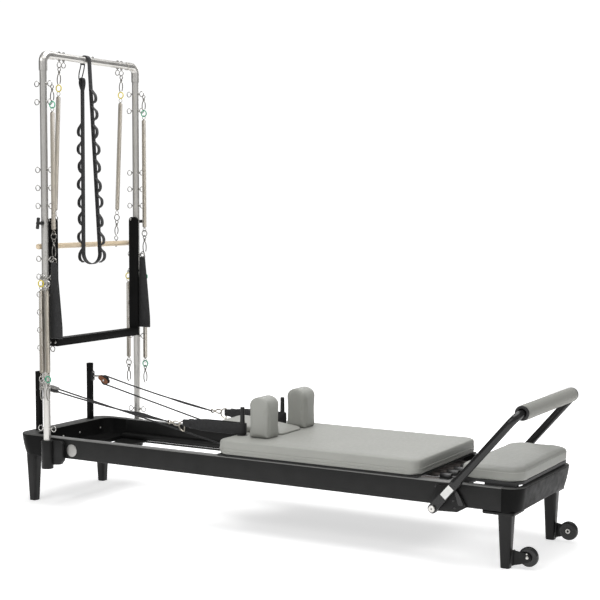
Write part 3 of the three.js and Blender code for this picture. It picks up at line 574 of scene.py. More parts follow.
def turned(form, profile, origin, axis, sides=20):
    """Turns (radius, height) pairs about an axis through origin."""
    origin, axis = Vector(origin), Vector(axis).normalized()
    guess = X_AXIS if abs(axis.x) < 0.9 else Y_AXIS
    side = axis.cross(guess).normalized()
    other = axis.cross(side)
    rows = []
    for radius, height in profile:
        centre = origin + axis * height
        rows.append([on_circle(centre, side, other, max(radius, 1e-5), t) for t in full_turn(sides)])
    girth = max(r for r, _ in profile) * tau
    heights = [h for _, h in profile] + [profile[-1][1]]
    form.grid(rows, False, True, (shares(girth, sides), heights))


def pin(form, base, axis, radius, height, sides=10, tip=None):
    """A plain round pin, domed when its tip is higher than its rim."""
    turned(form, [(0, 0), (radius, 0), (radius, height), (0, tip or height)], base, axis, sides)


def ring(form, centre, normal, radius, wire, steps=24, sides=8, long_axis=Z_AXIS):
    """A wire ring whose points start a quarter turn away from long_axis."""
    centre, normal = Vector(centre), Vector(normal).normalized()
    up = (long_axis - normal * long_axis.dot(normal)).normalized()
    points = [on_circle(centre, normal.cross(up), up, radius, turn) for turn in full_turn(steps)]
    tube(form, points, wire, sides, closed=True)


def bolt_head(form, face, axis, radius, height, socket=True):
    """A domed head, with a drive recess if it has a socket, standing on a surface point."""
    profile = [(0, 0), (radius, 0), (radius, height * 0.45), (radius * 0.86, height * 0.8),
               (radius * 0.6, height)]
    if socket:
        profile += [(radius * 0.42, height), (radius * 0.38, height * 0.5), (0, height * 0.5)]
    else:
        profile += [(0, height * 1.05)]
    turned(form, profile, face, axis, 16)


def nut(form, face, axis, radius, height):
    profile = [(0, 0), (radius, 0), (radius, height * 0.85), (radius * 0.88, height), (0, height)]
    turned(form, profile, face, axis, 6)


def arc_points(centre, first, second, radius, start, stop, steps):
    centre, first, second = Vector(centre), Vector(first), Vector(second)
    return [on_circle(centre, first, second, radius, turn) for turn in turns_between(start, stop, steps)]


def turns_between(start, stop, steps):
    """Angles in radians, evenly spread between two in degrees."""
    return [radians(start + (stop - start) * i / steps) for i in range(steps + 1)]


def flowing(points, per=8, closed=False):
    """A smooth curve through points."""
    points = [Vector(p) for p in points]
    count = len(points)
    curve = []
    for i in range(count if closed else count - 1):
        a, b, c, d = [points[k % count] if closed else points[min(max(k, 0), count - 1)]
                      for k in (i - 1, i, i + 1, i + 2)]
        for step in range(per):
            t = step / per
            curve.append(0.5 * ((2 * b) + (c - a) * t + (2 * a - 5 * b + 4 * c - d) * t * t
                                + (3 * b - a - 3 * c + d) * t ** 3))
    if not closed:
        curve.append(points[-1])
    return curve


def softened(node, body, material, width):
    """A CAD node's own shape with its sharp edges eased, as paint and machining leave them."""
    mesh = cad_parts[node].data.copy()
    made = bpy.data.objects.new(f"{node}_eased", mesh)
    bpy.context.scene.collection.objects.link(made)
    shell = bmesh.new()
    shell.from_mesh(mesh)
    bmesh.ops.remove_doubles(shell, verts=shell.verts, dist=2e-5)
    bmesh.ops.dissolve_limit(shell, angle_limit=radians(1.5), verts=shell.verts, edges=shell.edges)
    shell.to_mesh(mesh)
    shell.free()
    bevel = made.modifiers.new("ease", "BEVEL")
    bevel.width = width
    bevel.segments = 3
    bevel.limit_method = "ANGLE"
    bevel.angle_limit = radians(38)
    apply_modifiers(made)
    dress(made, material)
    smooth(made.data, 32)
    settle(made, body, node, material)


def dress(made, material):
    made.data.materials.clear()
    made.data.materials.append(material)


def settle(made, body, node, material):
    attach(made, body)
    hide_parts(node)
    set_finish(made, material["slot"])


def apply_modifiers(made):
    graph = bpy.context.evaluated_depsgraph_get()
    mesh = bpy.data.meshes.new_from_object(made.evaluated_get(graph), depsgraph=graph)
    made.modifiers.clear()
    made.data = mesh


# ---------- frame and hard parts ----------

def coat_nodes():
    """Gives the CAD nodes that stay in view their finished materials."""
    finishes = {
        STEEL: ("tower_crossbar", "tower_elbow_near", "tower_elbow_far", "tower_post_near", "tower_post_far"),
        BLACK: ("spring_bar",),
        BOARD: ("carriage_base", "platform_board"),
        PLASTIC: ("pulley_sheave_near", "pulley_sheave_far", "wheelset_head", "wheelset_foot"),
    }
    for material, nodes in finishes.items():
        for node in nodes:
            dress(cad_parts[node], material)
            smooth(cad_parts[node].data, 35)


# Nodes with a near and a far twin: body, material and how far their edges are eased, in metres.
EASED_PAIRS = {
    "head_leg": ("frame", BLACK, 0.0015),
    "foot_leg": ("frame", BLACK, 0.0015),
    "tower_socket": ("frame", BLACK, 0.0015),
    "riser": ("frame", CAST_BLACK, 0.0012),
    "footbar_bracket": ("frame", BLACK, 0.001),
    "caster_fork": ("frame", BLACK, 0.0008),
    "strap_peg": ("carriage", PLASTIC, 0.001),
}


def eased_frame():
    for name, _ in SIDES:
        for node, look in EASED_PAIRS.items():
            softened(f"{node}_{name}", *look)
    softened("footbar_frame", "foot_bar", GLOSS_BLACK, 0.0015)
    softened("push_through_bar", "push_bar", CAST_BLACK, 0.0018)


# In millimetres. End castings: outer end, inner wall of the rim, seam with the rails and corner radius.
CASTINGS = {
    "head_casting": (-1252, -1178, -1060, 72),
    "foot_casting": (1192, 1166, 1117, 64),
}
CASTING_TOP_Z = 315
CASTING_BOTTOM_Z = 219
CASTING_FLOOR_Z = 237
CASTING_TAPER = 18
BOTTOM_EASE = 1.5
FLOOR_FILLET = 3
RIM_OUTER = 4.5
RIM_INNER = RIM_OUTER * 0.6
TRAY_Y = 270
TRAY_CORNER = 50
LEDGE_Y = 240
LEDGE_Z = 248
RAIL_ENDS_X = (-1059.7, 1116.7)


def half_turn_outline(seam_x, end_x, half_y, radius, steps=12):
    """Points round a tray's end, from the near side of the seam to the far side."""
    away = 1 if end_x > seam_x else -1
    corner_x = end_x - away * radius
    straight = [Vector((seam_x + (corner_x - seam_x) * i / 3, -half_y, 0)) for i in range(3)]
    near = [Vector((corner_x + away * radius * sin(t), -half_y + radius - radius * cos(t), 0))
            for t in shares(pi / 2, steps)]
    middle = [Vector((end_x, (half_y - radius) * s, 0)) for s in (-0.6, -0.2)]
    half = straight + near + middle
    return half + [Vector((p.x, -p.y, 0)) for p in reversed(half)]


def casting(node, end_x, wall_x, seam_x, corner):
    """A tray with a rolled rim, round corners and sides that draw in towards the bottom edge."""
    outer = half_turn_outline(seam_x, end_x, RAIL_Y, corner)
    inner = half_turn_outline(seam_x, wall_x, TRAY_Y, min(TRAY_CORNER, abs(seam_x - wall_x) * 0.9))
    rows = []
    for drop in (1.0, 0.96, 0.9, 0.75, 0.55, 0.35, 0.18, 0.08):
        rows.append([drawn_in(p, seam_x, end_x, drop) for p in outer])
    for turn in turns_between(0, 90, 3):
        rows.append(rim_row(outer, -RIM_OUTER * (1 - cos(turn)), RIM_OUTER * (1 - sin(turn))))
    for turn in turns_between(90, 0, 3):
        rows.append(rim_row(inner, RIM_INNER * (1 - cos(turn)), RIM_INNER * (1 - sin(turn))))
    rows.append([Vector((p.x, p.y, CASTING_FLOOR_Z + FLOOR_FILLET)) for p in inner])
    rows.append(rim_row(inner, -FLOOR_FILLET, CASTING_TOP_Z - CASTING_FLOOR_Z))
    form = Form()
    form.grid([[p * MM for p in row] for row in rows], False, False)
    count, last = len(outer), (len(rows) - 1) * len(outer)
    seam = [r * count for r in range(len(rows))] + [(r + 1) * count - 1 for r in reversed(range(len(rows)))]
    form.close(list(range(count))[::-1], [last + i for i in range(count)], seam)
    made = form.piece(f"{node}_shell", RIM_BLACK, "frame", 50)
    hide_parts(node)


def drawn_in(point, seam_x, end_x, drop):
    """A side point at a share of the drop from rim to bottom edge, moved in by the taper."""
    near_end = (point.x - seam_x) / (end_x - seam_x)
    taper = CASTING_TAPER * drop ** 1.6 * near_end
    eased = BOTTOM_EASE if drop == 1.0 else 0
    away = copysign(1, end_x - seam_x) if near_end > 0.02 else 0
    narrow = 1 - (taper * 0.7 + eased) / RAIL_Y
    z = CASTING_TOP_Z - (CASTING_TOP_Z - CASTING_BOTTOM_Z) * drop
    return Vector((point.x - away * (taper + eased), point.y * narrow, z))


def rim_row(outline, outwards, below):
    """An outline moved along its own level normals and set below the rim's top."""
    row, last = [], len(outline) - 1
    for index, point in enumerate(outline):
        along = (outline[min(index + 1, last)] - outline[max(index - 1, 0)]).normalized()
        normal = along.cross(Z_AXIS)
        outside = Vector((0, point.y, 0)) if abs(along.x) > abs(along.y) else Vector((point.x, 0, 0))
        if normal.dot(outside) < 0:
            normal = -normal
        if index in (0, last):
            normal = Vector((0, copysign(1, point.y), 0))
        place = point + normal * outwards
        row.append(Vector((place.x, place.y, CASTING_TOP_Z - below)))
    return row


def rail(name, side):
    """A rail's outer box and inner track ledge, with its long edges rounded."""
    section = [(LEDGE_Y, RAIL_BOTTOM_Z + 1), (LEDGE_Y + 1, RAIL_BOTTOM_Z)]
    section += rounded_corner(RAIL_Y, RAIL_BOTTOM_Z, 3.5, -90)
    section += rounded_corner(RAIL_Y, RAIL_TOP_Z, 5.0, 0)
    section += [(TRAY_Y + 1.5, RAIL_TOP_Z), (TRAY_Y + 0.4, RAIL_TOP_Z - 0.4), (TRAY_Y, RAIL_TOP_Z - 1.5),
                (TRAY_Y, LEDGE_Z), (LEDGE_Y + 1, LEDGE_Z), (LEDGE_Y, LEDGE_Z - 1)]
    form = Form()
    form.grid([[mm(x, side * y, z) for y, z in section] for x in RAIL_ENDS_X], False, True)
    made = form.piece(f"side_rail_{name}", RAIL_BLACK, "frame", 50)
    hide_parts(f"rail_{name}")


def rounded_corner(y, z, radius, start):
    centre_z = z + radius if start < 0 else z - radius
    return [(y - radius + radius * cos(t), centre_z + radius * sin(t))
            for t in turns_between(start, start + 90, 5)]


def castings_and_rails():
    for node, measures in CASTINGS.items():
        casting(node, *measures)
    for name, side in SIDES:
        rail(name, side)


def frame_bolts():
    """Dark socket screws at the head casting's seam and bright bolts on the inner wall of its tray."""
    heads, bright = Form(), Form()
    for side in (-1, 1):
        for z in (296, 244):
            bolt_head(heads, mm(-1068, side * (RAIL_Y - 0.3), z), (0, side, 0), 0.005, 0.0024)
        for y in (61, 220):
            bolt_head(bright, mm(-1178, side * y, 268), X_AXIS, 0.0058, 0.004, False)
    heads.piece("frame_bolts", PLASTIC, "frame")
    bright.piece("tray_bolts", STEEL, "frame")


def under_trims():
    """Lips under the rails' inner ledges, and the thin plate that carries the tray on under the rails."""
    lips, plate = Form(), Form()
    for side in (-1, 1):
        outline = [(-917, 215.5), (1030, 215.5), (1030, 223.7), (-917, 223.7)]
        cheek(lips, outline, mm(0, side * 237, 0), X_AXIS, Z_AXIS, Y_AXIS, 0.003)
    outline = [(-1058, 165), (-1034, 165), (-1034, -260), (-918, -260), (-918, 260), (-1058, 260)]
    cheek(plate, outline, mm(0, 0, 222), X_AXIS, Y_AXIS, Z_AXIS, 0.0015)
    lips.piece("rail_inner_lips", BLACK, "frame")
    plate.piece("tray_plate", BLACK, "frame")


def rail_discs():
    """A plain flat disc on each rail's outer face."""
    for name, side in SIDES:
        disc = Form()
        profile = [(0, 0), (0.028, 0), (0.028, 0.0012), (0.0274, 0.0018), (0.0262, 0.0020), (0, 0.0020)]
        turned(disc, profile, mm(-925, side * RAIL_Y, 263), (0, side, 0), 48)
        disc.piece(f"rail_disc_{name}", SATIN, "frame")


def pale_floor():
    """A white sweep: a little self-lit, and more so far out, so that it has no horizon."""
    floor = Form()
    reach = 4.2
    corners = ((-reach, -reach), (reach, -reach), (reach, reach), (-reach, reach))
    floor.points = [Vector((x, y, 0)) for x, y in corners]
    floor.close([0, 1, 2, 3])
    surface = Surface("floor_pale", (0.78, 0.78, 0.78), 0.9)
    surface.set("Specular IOR Level", 0.0)
    surface.set("Emission Color", (1, 1, 1, 1))
    distance = surface.node("ShaderNodeVectorMath", operation="LENGTH")
    surface.link(surface.stretched((0.8, 1.3, 1)), distance, "Vector")
    glow = surface.node("ShaderNodeMapRange", interpolation_type="SMOOTHSTEP")
    for socket, value in (("From Min", 0.5), ("From Max", 2.2), ("To Min", 0.56), ("To Max", 0.80)):
        surface.put(glow, socket, value)
    surface.link(distance.outputs["Value"], glow, "Value")
    surface.link(glow.outputs["Result"], surface.shader, "Emission Strength")
    made = floor.piece("floor", surface.material)
    del made["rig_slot"]


# ---------- upholstery ----------

def rolled_edges(edge, low, high):
    """(inset, height) pairs that round a pad's lower and upper edges."""
    turns = [radians(turn) for turn in range(0, 91, 15)]
    lower = [(edge * (1 - sin(t)), low + edge * (1 - cos(t))) for t in turns]
    return lower + [(edge * (1 - cos(t)), high - edge * (1 - sin(t))) for t in turns]


def pad_mesh(name, low, high, corner, edge, inset=0.004):
    """A rounded block, a little smaller than the finished pad, ready to be blown up."""
    low = Vector(low) + Vector((inset, inset, 0))
    high = Vector(high) - Vector((inset, inset, inset * 0.5))
    outline = []
    for cx, cy, start in ((high.x - corner, high.y - corner, 0), (low.x + corner, high.y - corner, 90),
                          (low.x + corner, low.y + corner, 180), (high.x - corner, low.y + corner, 270)):
        outline += arc_points((cx, cy, 0), X_AXIS, Y_AXIS, corner, start, start + 90, 10)
    middle = (low + high) / 2
    form = Form()
    skin = [[pulled_in(p, middle, pull, z) for p in outline] for pull, z in rolled_edges(edge, low.z, high.z)]
    form.grid(skin, False, True)
    return form.piece(name, VINYL)


def pulled_in(point, middle, pull, z):
    offset = Vector((point.x - middle.x, point.y - middle.y, 0))
    longest = max(offset.length, 1e-6)
    return Vector((point.x, point.y, 0)) - offset * (pull / longest) + Vector((0, 0, z))


def inflate(made, voxel, cap, floor_z, pressure=4.0, material=VINYL):
    """Blows the pad up as cloth, holding each point to within cap of where it began."""
    remesh = made.modifiers.new("voxels", "REMESH")
    remesh.mode = "VOXEL"
    remesh.voxel_size = voxel
    apply_modifiers(made)
    start = [v.co.copy() for v in made.data.vertices]
    blow(made, pressure)
    for vertex, origin in zip(made.data.vertices, start):
        move = vertex.co - origin
        if move.length > cap:
            vertex.co = origin + move * (cap / move.length)
        if vertex.co.z < floor_z:
            vertex.co.z = floor_z
    divided = made.modifiers.new("divided", "SUBSURF")
    divided.levels = 1
    apply_modifiers(made)
    dress(made, material)
    made.data.shade_smooth()


def blow(made, pressure):
    scene = bpy.context.scene
    cloth = made.modifiers.new("cloth", "CLOTH")
    cloth.settings.use_pressure = True
    cloth.settings.uniform_pressure_force = pressure
    cloth.settings.effector_weights.gravity = 0
    cloth.settings.quality = 4
    cloth.collision_settings.use_collision = False
    cloth.collision_settings.use_self_collision = False
    cloth.point_cache.frame_start = 1
    cloth.point_cache.frame_end = 20
    for step in range(1, 21):
        scene.frame_set(step)
    apply_modifiers(made)
    scene.frame_set(1)


SEAM_STEPS = 27


def seam_round(made, name, z, body, radius=0.0011, squeeze=0.0004):
    """A piped seam that follows a pad's side at one height."""
    tree = BVHTree.FromObject(made, bpy.context.evaluated_depsgraph_get())
    co = [v.co for v in made.data.vertices]
    low = Vector((min(c.x for c in co), min(c.y for c in co), z))
    high = Vector((max(c.x for c in co), max(c.y for c in co), z))
    points = []
    for start, stop in rectangle_walk(low, high):
        hit = tree.ray_cast(start, (stop - start).normalized())
        if hit[0] is not None:
            points.append(hit[0] - hit[1] * squeeze)
    form = Form()
    tube(form, points, radius, 6, closed=True)
    form.piece(name, VINYL, body)


def rectangle_walk(low, high):
    """Pairs of an outside point and the inside point it looks at, round a stadium about the pad."""
    inset = min(high.x - low.x, high.y - low.y) * 0.35
    pairs = []
    centres = [(high.x - inset, high.y - inset, 0), (low.x + inset, high.y - inset, 90),
               (low.x + inset, low.y + inset, 180), (high.x - inset, low.y + inset, 270)]
    for i, (x, y, start) in enumerate(centres):
        centre = Vector((x, y, low.z))
        for turn in turns_between(start, start + 90, SEAM_STEPS):
            pairs.append((centre + Vector((cos(turn), sin(turn), 0)) * 2, centre))
        next_x, next_y, degrees = centres[(i + 1) % 4]
        turn = radians(degrees)
        away = Vector((cos(turn), sin(turn), 0))
        for k in range(1, SEAM_STEPS):
            base = centre.lerp(Vector((next_x, next_y, low.z)), k / SEAM_STEPS)
            pairs.append((base + away * 2, base))
    return pairs


def finish_pad(made, body, node):
    settle(made, body, node, VINYL)


def flat_pads():
    low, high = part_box("carriage_cushion")
    deck = pad_mesh("carriage_pad", low, high, 0.046, 0.010)
    inflate(deck, 0.007, 0.0045, low.z)
    finish_pad(deck, "carriage", "carriage_cushion")
    seam_round(deck, "carriage_pad_seam", low.z + 0.024, "carriage", 0.0027, 0.0002)
    seam_round(deck, "carriage_pad_lower_seam", low.z + 0.012, "carriage", 0.0024, 0.0002)
    low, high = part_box("platform_cushion")
    platform = pad_mesh("platform_pad", low, high, 0.066, 0.010)
    inflate(platform, 0.006, 0.006, low.z, material=FIRM_VINYL)
    finish_pad(platform, "frame", "platform_cushion")
    seam_round(platform, "platform_pad_seam", high.z - 0.015, "frame", 0.0015)


def headrest_pad():
    """A wedge, thinnest at its foot end."""
    low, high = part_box("headrest")
    rest = pad_mesh("headrest_pad", low, high, 0.034, 0.014)
    inflate(rest, 0.005, 0.004, low.z)
    for vertex in rest.data.vertices:
        share = min(1, max(0, (vertex.co.x - low.x) / (high.x - low.x)))
        vertex.co.z = low.z + (vertex.co.z - low.z) * (1 - HEADREST_THINNING * share ** 1.4)
        vertex.co.x += HEADREST_STRETCH * share
    finish_pad(rest, "headrest_body", "headrest")
    seam_round(rest, "headrest_pad_seam", low.z + 0.005, "headrest_body")


# In metres: the shoulder rests' feet and plates, the headrest's wedge and the foam grip.
REST_BASE_Z = 0.3848
REST_PLATE_Z = 0.3824
HEADREST_THINNING = 0.74
HEADREST_STRETCH = 0.012
GRIP_BORE = 0.0185
GRIP_RADIUS = 0.0295


def shoulder_pads():
    for name, side in SIDES:
        node = f"shoulder_rest_{name}"
        low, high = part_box(node)
        low.z = REST_BASE_Z
        middle = (low + high) / 2
        half_x, half_y = (high.x - low.x) / 2 + 0.004, (high.y - low.y) / 2 - 0.0005
        shape = arch(half_x, low.z, high.z - 0.004, 0.036)
        form = Form()
        form.grid([[shrunk(p, middle, pull, middle.y + y) for p in shape]
                   for pull, y in rolled_edges(0.0085, -half_y, half_y)], False, True)
        pad = form.piece(f"shoulder_pad_{name}", VINYL)
        inflate(pad, 0.005, 0.003, low.z, 2.5)
        finish_pad(pad, f"{node}_body", node)
        shoulder_post(name, side)
        for face in (-1, 1):
            shoulder_seam(pad, name, face, middle, half_y - 0.007, low.z, high.z)


def shoulder_seam(pad, name, face, middle, reach, low_z, high_z):
    """The sewn line where a shoulder rest's side panel meets its arched band."""
    tree = BVHTree.FromObject(pad, bpy.context.evaluated_depsgraph_get())
    y = middle.y + face * reach
    points = []
    for point in arch(0.2, low_z - 0.1, high_z + 0.1, 0.19):
        aim = Vector((middle.x, y, min(max(point.z, low_z + 0.012), high_z - 0.05)))
        start = Vector((middle.x + point.x, y, point.z))
        hit = tree.ray_cast(start, (aim - start).normalized())
        if hit[0] is not None and hit[0].z > low_z + 0.003:
            points.append(hit[0] - hit[1] * 0.0004)
    form = Form()
    tube(form, points, 0.0011, 6)
    label = "inner" if face * middle.y < 0 else "outer"
    form.piece(f"shoulder_pad_{name}_{label}_seam", VINYL, f"shoulder_rest_{name}_body")


def arch(half, low_z, high_z, crown):
    """An outline with square feet and a rounded head, as points in X and Z about X = 0."""
    points = [Vector((-half + 2 * half * i / 8, 0, low_z)) for i in range(1, 8)]
    points += [Vector((half, 0, low_z + (high_z - crown - low_z) * i / 8)) for i in range(0, 8)]
    for i in range(17):
        turn = pi * i / 16
        points.append(Vector((half * cos(turn), 0, high_z - crown + crown * sin(turn))))
    points += [Vector((-half, 0, high_z - crown - (high_z - crown - low_z) * i / 8)) for i in range(1, 9)]
    return points


def shrunk(point, middle, pull, y):
    offset = Vector((point.x, 0, point.z - middle.z))
    longest = max(offset.length, 1e-6)
    away = Vector((point.x, 0, point.z)) - offset * (pull / longest)
    return Vector((middle.x + away.x, y, away.z))


def shoulder_post(name, side):
    """Pin and plate under a shoulder rest."""
    body = f"shoulder_rest_{name}_body"
    centre = mm(-8, side * 157, 0)
    metal, plate = Form(), Form()
    turned(metal, [(0, 0.268), (0.006, 0.268), (0.007, 0.27), (0.007, REST_PLATE_Z), (0, REST_PLATE_Z)],
           centre, Z_AXIS, 20)
    top = REST_BASE_Z + 0.0004
    turned(plate, [(0, REST_PLATE_Z), (0.031, REST_PLATE_Z), (0.032, REST_PLATE_Z + 0.0015), (0.032, top),
                   (0, top)], centre, Z_AXIS, 24)
    metal.piece(f"shoulder_pin_{name}", BRIGHT, body)
    plate.piece(f"shoulder_plate_{name}", BLACK, body)


def foam_grip():
    low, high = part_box("footbar_grip")
    middle = (low + high) / 2 + Vector((0, 0, 0.002))
    half = (high.y - low.y) / 2
    form = Form()
    profile = [(GRIP_BORE, -half + 0.006), (0.026, -half + 0.006), (0.0285, -half + 0.009),
               (GRIP_RADIUS, -half + 0.016)]
    for t in [i / 24 for i in range(1, 24)]:
        profile.append((GRIP_RADIUS + 0.0002 * sin(t * 17), -half + 0.016 + (2 * half - 0.032) * t))
    profile += [(r, -h) for r, h in reversed(profile[:4])]
    profile.append(profile[0])
    turned(form, profile, middle, Y_AXIS, 40)
    grip = form.piece("foot_bar_foam", FOAM, "foot_bar")
    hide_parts("footbar_grip")
    inner = half - 0.006
    shape = [(GRIP_BORE, inner), (0.0282, inner), (0.0288, inner + 0.002), (0.0282, half - 0.0005),
             (GRIP_BORE, half), (GRIP_BORE, inner)]
    for name, side in SIDES:
        collar = Form()
        turned(collar, shape, middle, (0, side, 0), 32)
        collar.piece(f"grip_end_ring_{name}", PLASTIC, "foot_bar")


# ---------- springs, eye bolts and hooks ----------

def coil(form, start, end, radius, wire, turns, steps=14):
    """A round wire wound about a line, drawn in towards both ends."""
    start, end = Vector(start), Vector(end)
    axis = (end - start).normalized()
    guess = Y_AXIS if abs(axis.y) < 0.9 else X_AXIS
    side = axis.cross(guess).normalized()
    other = axis.cross(side)
    count = int(turns * steps)
    ease = steps * 2.2
    points = []
    for i in range(count + 1):
        near = min(1, min(i, count - i) / ease)
        r = radius * min(1.0, 0.28 + 0.72 * sin(near * pi / 2))
        points.append(on_circle(start.lerp(end, i / count), side, other, r, tau * i / steps))
    tube(form, points, wire, 5)


def hanging_spring(name, node, body, top, axis, body_start, body_end):
    """A close-wound extension spring with a looped eye at each end."""
    form = Form()
    first, last = top + axis * body_start, top + axis * body_end
    coil(form, first, last, SPRING_RADIUS - SPRING_WIRE, SPRING_WIRE, (body_end - body_start) / SPRING_PITCH)
    for point, away in ((first, -1), (last, 1)):
        centre = point + axis * (away * (SPRING_EYE + 0.002))
        ring(form, centre, Y_AXIS, SPRING_EYE, SPRING_WIRE * 1.1, 18, 6, axis)
    made = form.piece(name, NICKEL, body)
    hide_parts(node)


def snap_hook(form, top, bottom, gauge):
    """A swivel snap hook between two points: a bent hook below and a swivel barrel above."""
    length = (bottom - top).length
    axis = (bottom - top).normalized()
    side = Y_AXIS.cross(axis).normalized()
    eye = min(0.008, length * 0.12)
    ring(form, top + axis * eye, Y_AXIS, eye, 0.0017 * gauge, 18, 6, axis)
    barrel = top + axis * (2 * eye)
    turned(form, [(0, 0), (0.0035, 0), (0.005, 0.003), (0.005, 0.009), (0.0028, 0.012), (0, 0.012)],
           barrel, axis, 12)
    begin = 2 * eye + 0.012
    bow = (length - begin) / 2
    wide = min(0.0095, bow * 0.5)
    points = []
    for turn in turns_between(-90, 228, 21):
        points.append(top + axis * (begin + bow - bow * sin(turn)) + side * (wide * cos(turn)))
    tube(form, points, 0.0019 * gauge, 6)
    gate = top + axis * (begin + bow * 0.3)
    tube(form, [gate - side * wide * 0.9, gate + axis * bow - side * wide], 0.0013, 6)


def d_ring(form, centre, down, half, wire):
    """A D-shaped ring across Y: a straight bar on its lower side with a bow over it."""
    side = Y_AXIS.cross(down)
    low = centre + down * (half * 0.5)
    points = [low + side * (half * (1 - 2 * i / 6)) for i in range(7)]
    for i in range(1, 12):
        turn = pi * i / 12
        points.append(low - side * (half * cos(turn)) - down * (half * 1.25 * sin(turn)))
    tube(form, points, wire, 8, closed=True)


# The posts' eye bolts and the face of their tubes, in millimetres.
EYE_HEIGHTS = (358, 720, 800, 880, 960, 1040, 1120, 1356, 1436, 1516, 1815, 1895)
EYE_REACH = 37.5
EYE_RADIUS = 12.2
TUBE_FACE = 15.8

# The hanging springs, in metres: outside radius, wire radius, pitch and radius of their eyes.
SPRING_RADIUS = 0.0108
SPRING_WIRE = 0.0013
SPRING_PITCH = 0.0032
SPRING_EYE = 0.009

# The rings between springs and hooks, and how far the tower straps hang below their CAD boxes, in metres.
LINK_RADIUS = 0.0145
STRAP_DROP = 0.010


def eye_bolt(form, face, axis, shank, centre, radius, nut_radius=0.0065, steps=22):
    """A nut and a shank on a tube's face, and a round eye in the XZ plane."""
    nut(form, face, axis, nut_radius, 0.004)
    pin(form, face, axis, 0.003, shank)
    ring(form, centre, Y_AXIS, radius, 0.0022, steps, 7)


def post_eye_bolts():
    for name, side in SIDES:
        form = Form()
        for z in EYE_HEIGHTS:
            for away in (-1, 1):
                face = mm(TOWER_X + away * TUBE_FACE, side * TOWER_Y, z)
                centre = mm(TOWER_X + away * EYE_REACH, side * TOWER_Y, z)
                eye_bolt(form, face, (away, 0, 0), 0.0095, centre, EYE_RADIUS * MM)
        form.piece(f"post_eye_bolts_{name}", BRIGHT, "frame")


def crossbar_eye_bolts():
    form = Form()
    above, below = CROSSBAR_Z + 15.6, CROSSBAR_Z - 15.6
    for y in (-228, -198, 198, 228):
        nut(form, mm(TOWER_X, y, above), Z_AXIS, 0.0062, 0.0045)
        pin(form, mm(TOWER_X, y, above), Z_AXIS, 0.003, 0.0065, tip=0.007)
        eye_bolt(form, mm(TOWER_X, y, below), -Z_AXIS, 0.010, mm(TOWER_X, y, below - 21.4), 0.012, 0.0062)
    nut(form, mm(TOWER_X, 12, above), Z_AXIS, 0.005, 0.0045)
    pin(form, mm(TOWER_X, 12, above), Z_AXIS, 0.003, 0.0065, tip=0.007)
    form.piece("crossbar_eye_bolts", BRIGHT, "frame")


def coated_ring(name, centre, material, body):
    form = Form()
    ring(form, centre, Y_AXIS, LINK_RADIUS, 0.0026, 26, 8)
    form.piece(name, material, body)


def roll_down_set():
    low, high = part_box("roll_down_bar")
    bar_centre, body = (low + high) / 2, "roll_down_set"
    for name, side in SIDES:
        top = mm(TOWER_X, side * 228, 1975)
        foot = Vector((bar_centre.x, side * 0.228, bar_centre.z))
        axis = (foot - top).normalized()
        hooks = Form()
        snap_hook(hooks, top, top + axis * 0.078, 1.3)
        snap_hook(hooks, top + axis * 0.690, top + axis * 0.760, 1.3)
        ring(hooks, top + axis * 0.676, Y_AXIS, LINK_RADIUS, 0.0022, 24, 7)
        ring(hooks, foot - axis * 0.026, Y_AXIS, 0.010, 0.002, 20, 6)
        pin(hooks, foot + axis * 0.0155, -axis, 0.0026, 0.031)
        nut(hooks, foot + axis * 0.0115, axis, 0.005, 0.004)
        hooks.piece(f"roll_down_hooks_{name}", HOOK_STEEL, body)
        coated_ring(f"roll_down_ring_{name}", top + axis * 0.092, YELLOW, body)
        hanging_spring(f"roll_down_coil_{name}", f"roll_down_spring_{name}", body, top, axis, 0.128, 0.642)
    dowel = Form()
    half = (high.y - low.y) / 2
    radius = 0.0125
    profile = [(0, -half), (radius - 0.004, -half), (radius - 0.001, -half + 0.0015), (radius, -half + 0.004)]
    profile += [(radius, -half + 0.05), (radius, 0), (radius, half - 0.05)]
    profile += [(r, -h) for r, h in reversed(profile[:4])]
    turned(dowel, profile, bar_centre, Y_AXIS, 28)
    made = dowel.piece("roll_down_dowel", BEECH, body)
    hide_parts("roll_down_bar")


def upper_hangers():
    for name, side in SIDES:
        body = f"upper_hanger_{name}"
        top = mm(HANGER_X, side * TOWER_Y, 1889)
        hooks = Form()
        snap_hook(hooks, top, top + DOWN * 0.074, 1.3)
        ring(hooks, top + DOWN * 0.667, Y_AXIS, LINK_RADIUS, 0.0022, 24, 7)
        snap_hook(hooks, top + DOWN * 0.678, top + DOWN * 0.762, 1.3)
        inwards = 0.019 if side > 0 else 0
        d_ring(hooks, top + DOWN * 0.775 - Y_AXIS * inwards, DOWN, 0.015, 0.0025)
        hooks.piece(f"upper_hooks_{name}", HOOK_STEEL, body)
        coated_ring(f"upper_ring_{name}", top + DOWN * 0.088, GREEN, body)
        hanging_spring(f"upper_coil_{name}", f"upper_spring_{name}", body, top, DOWN, 0.118, 0.640)
        tower_strap(name, body)


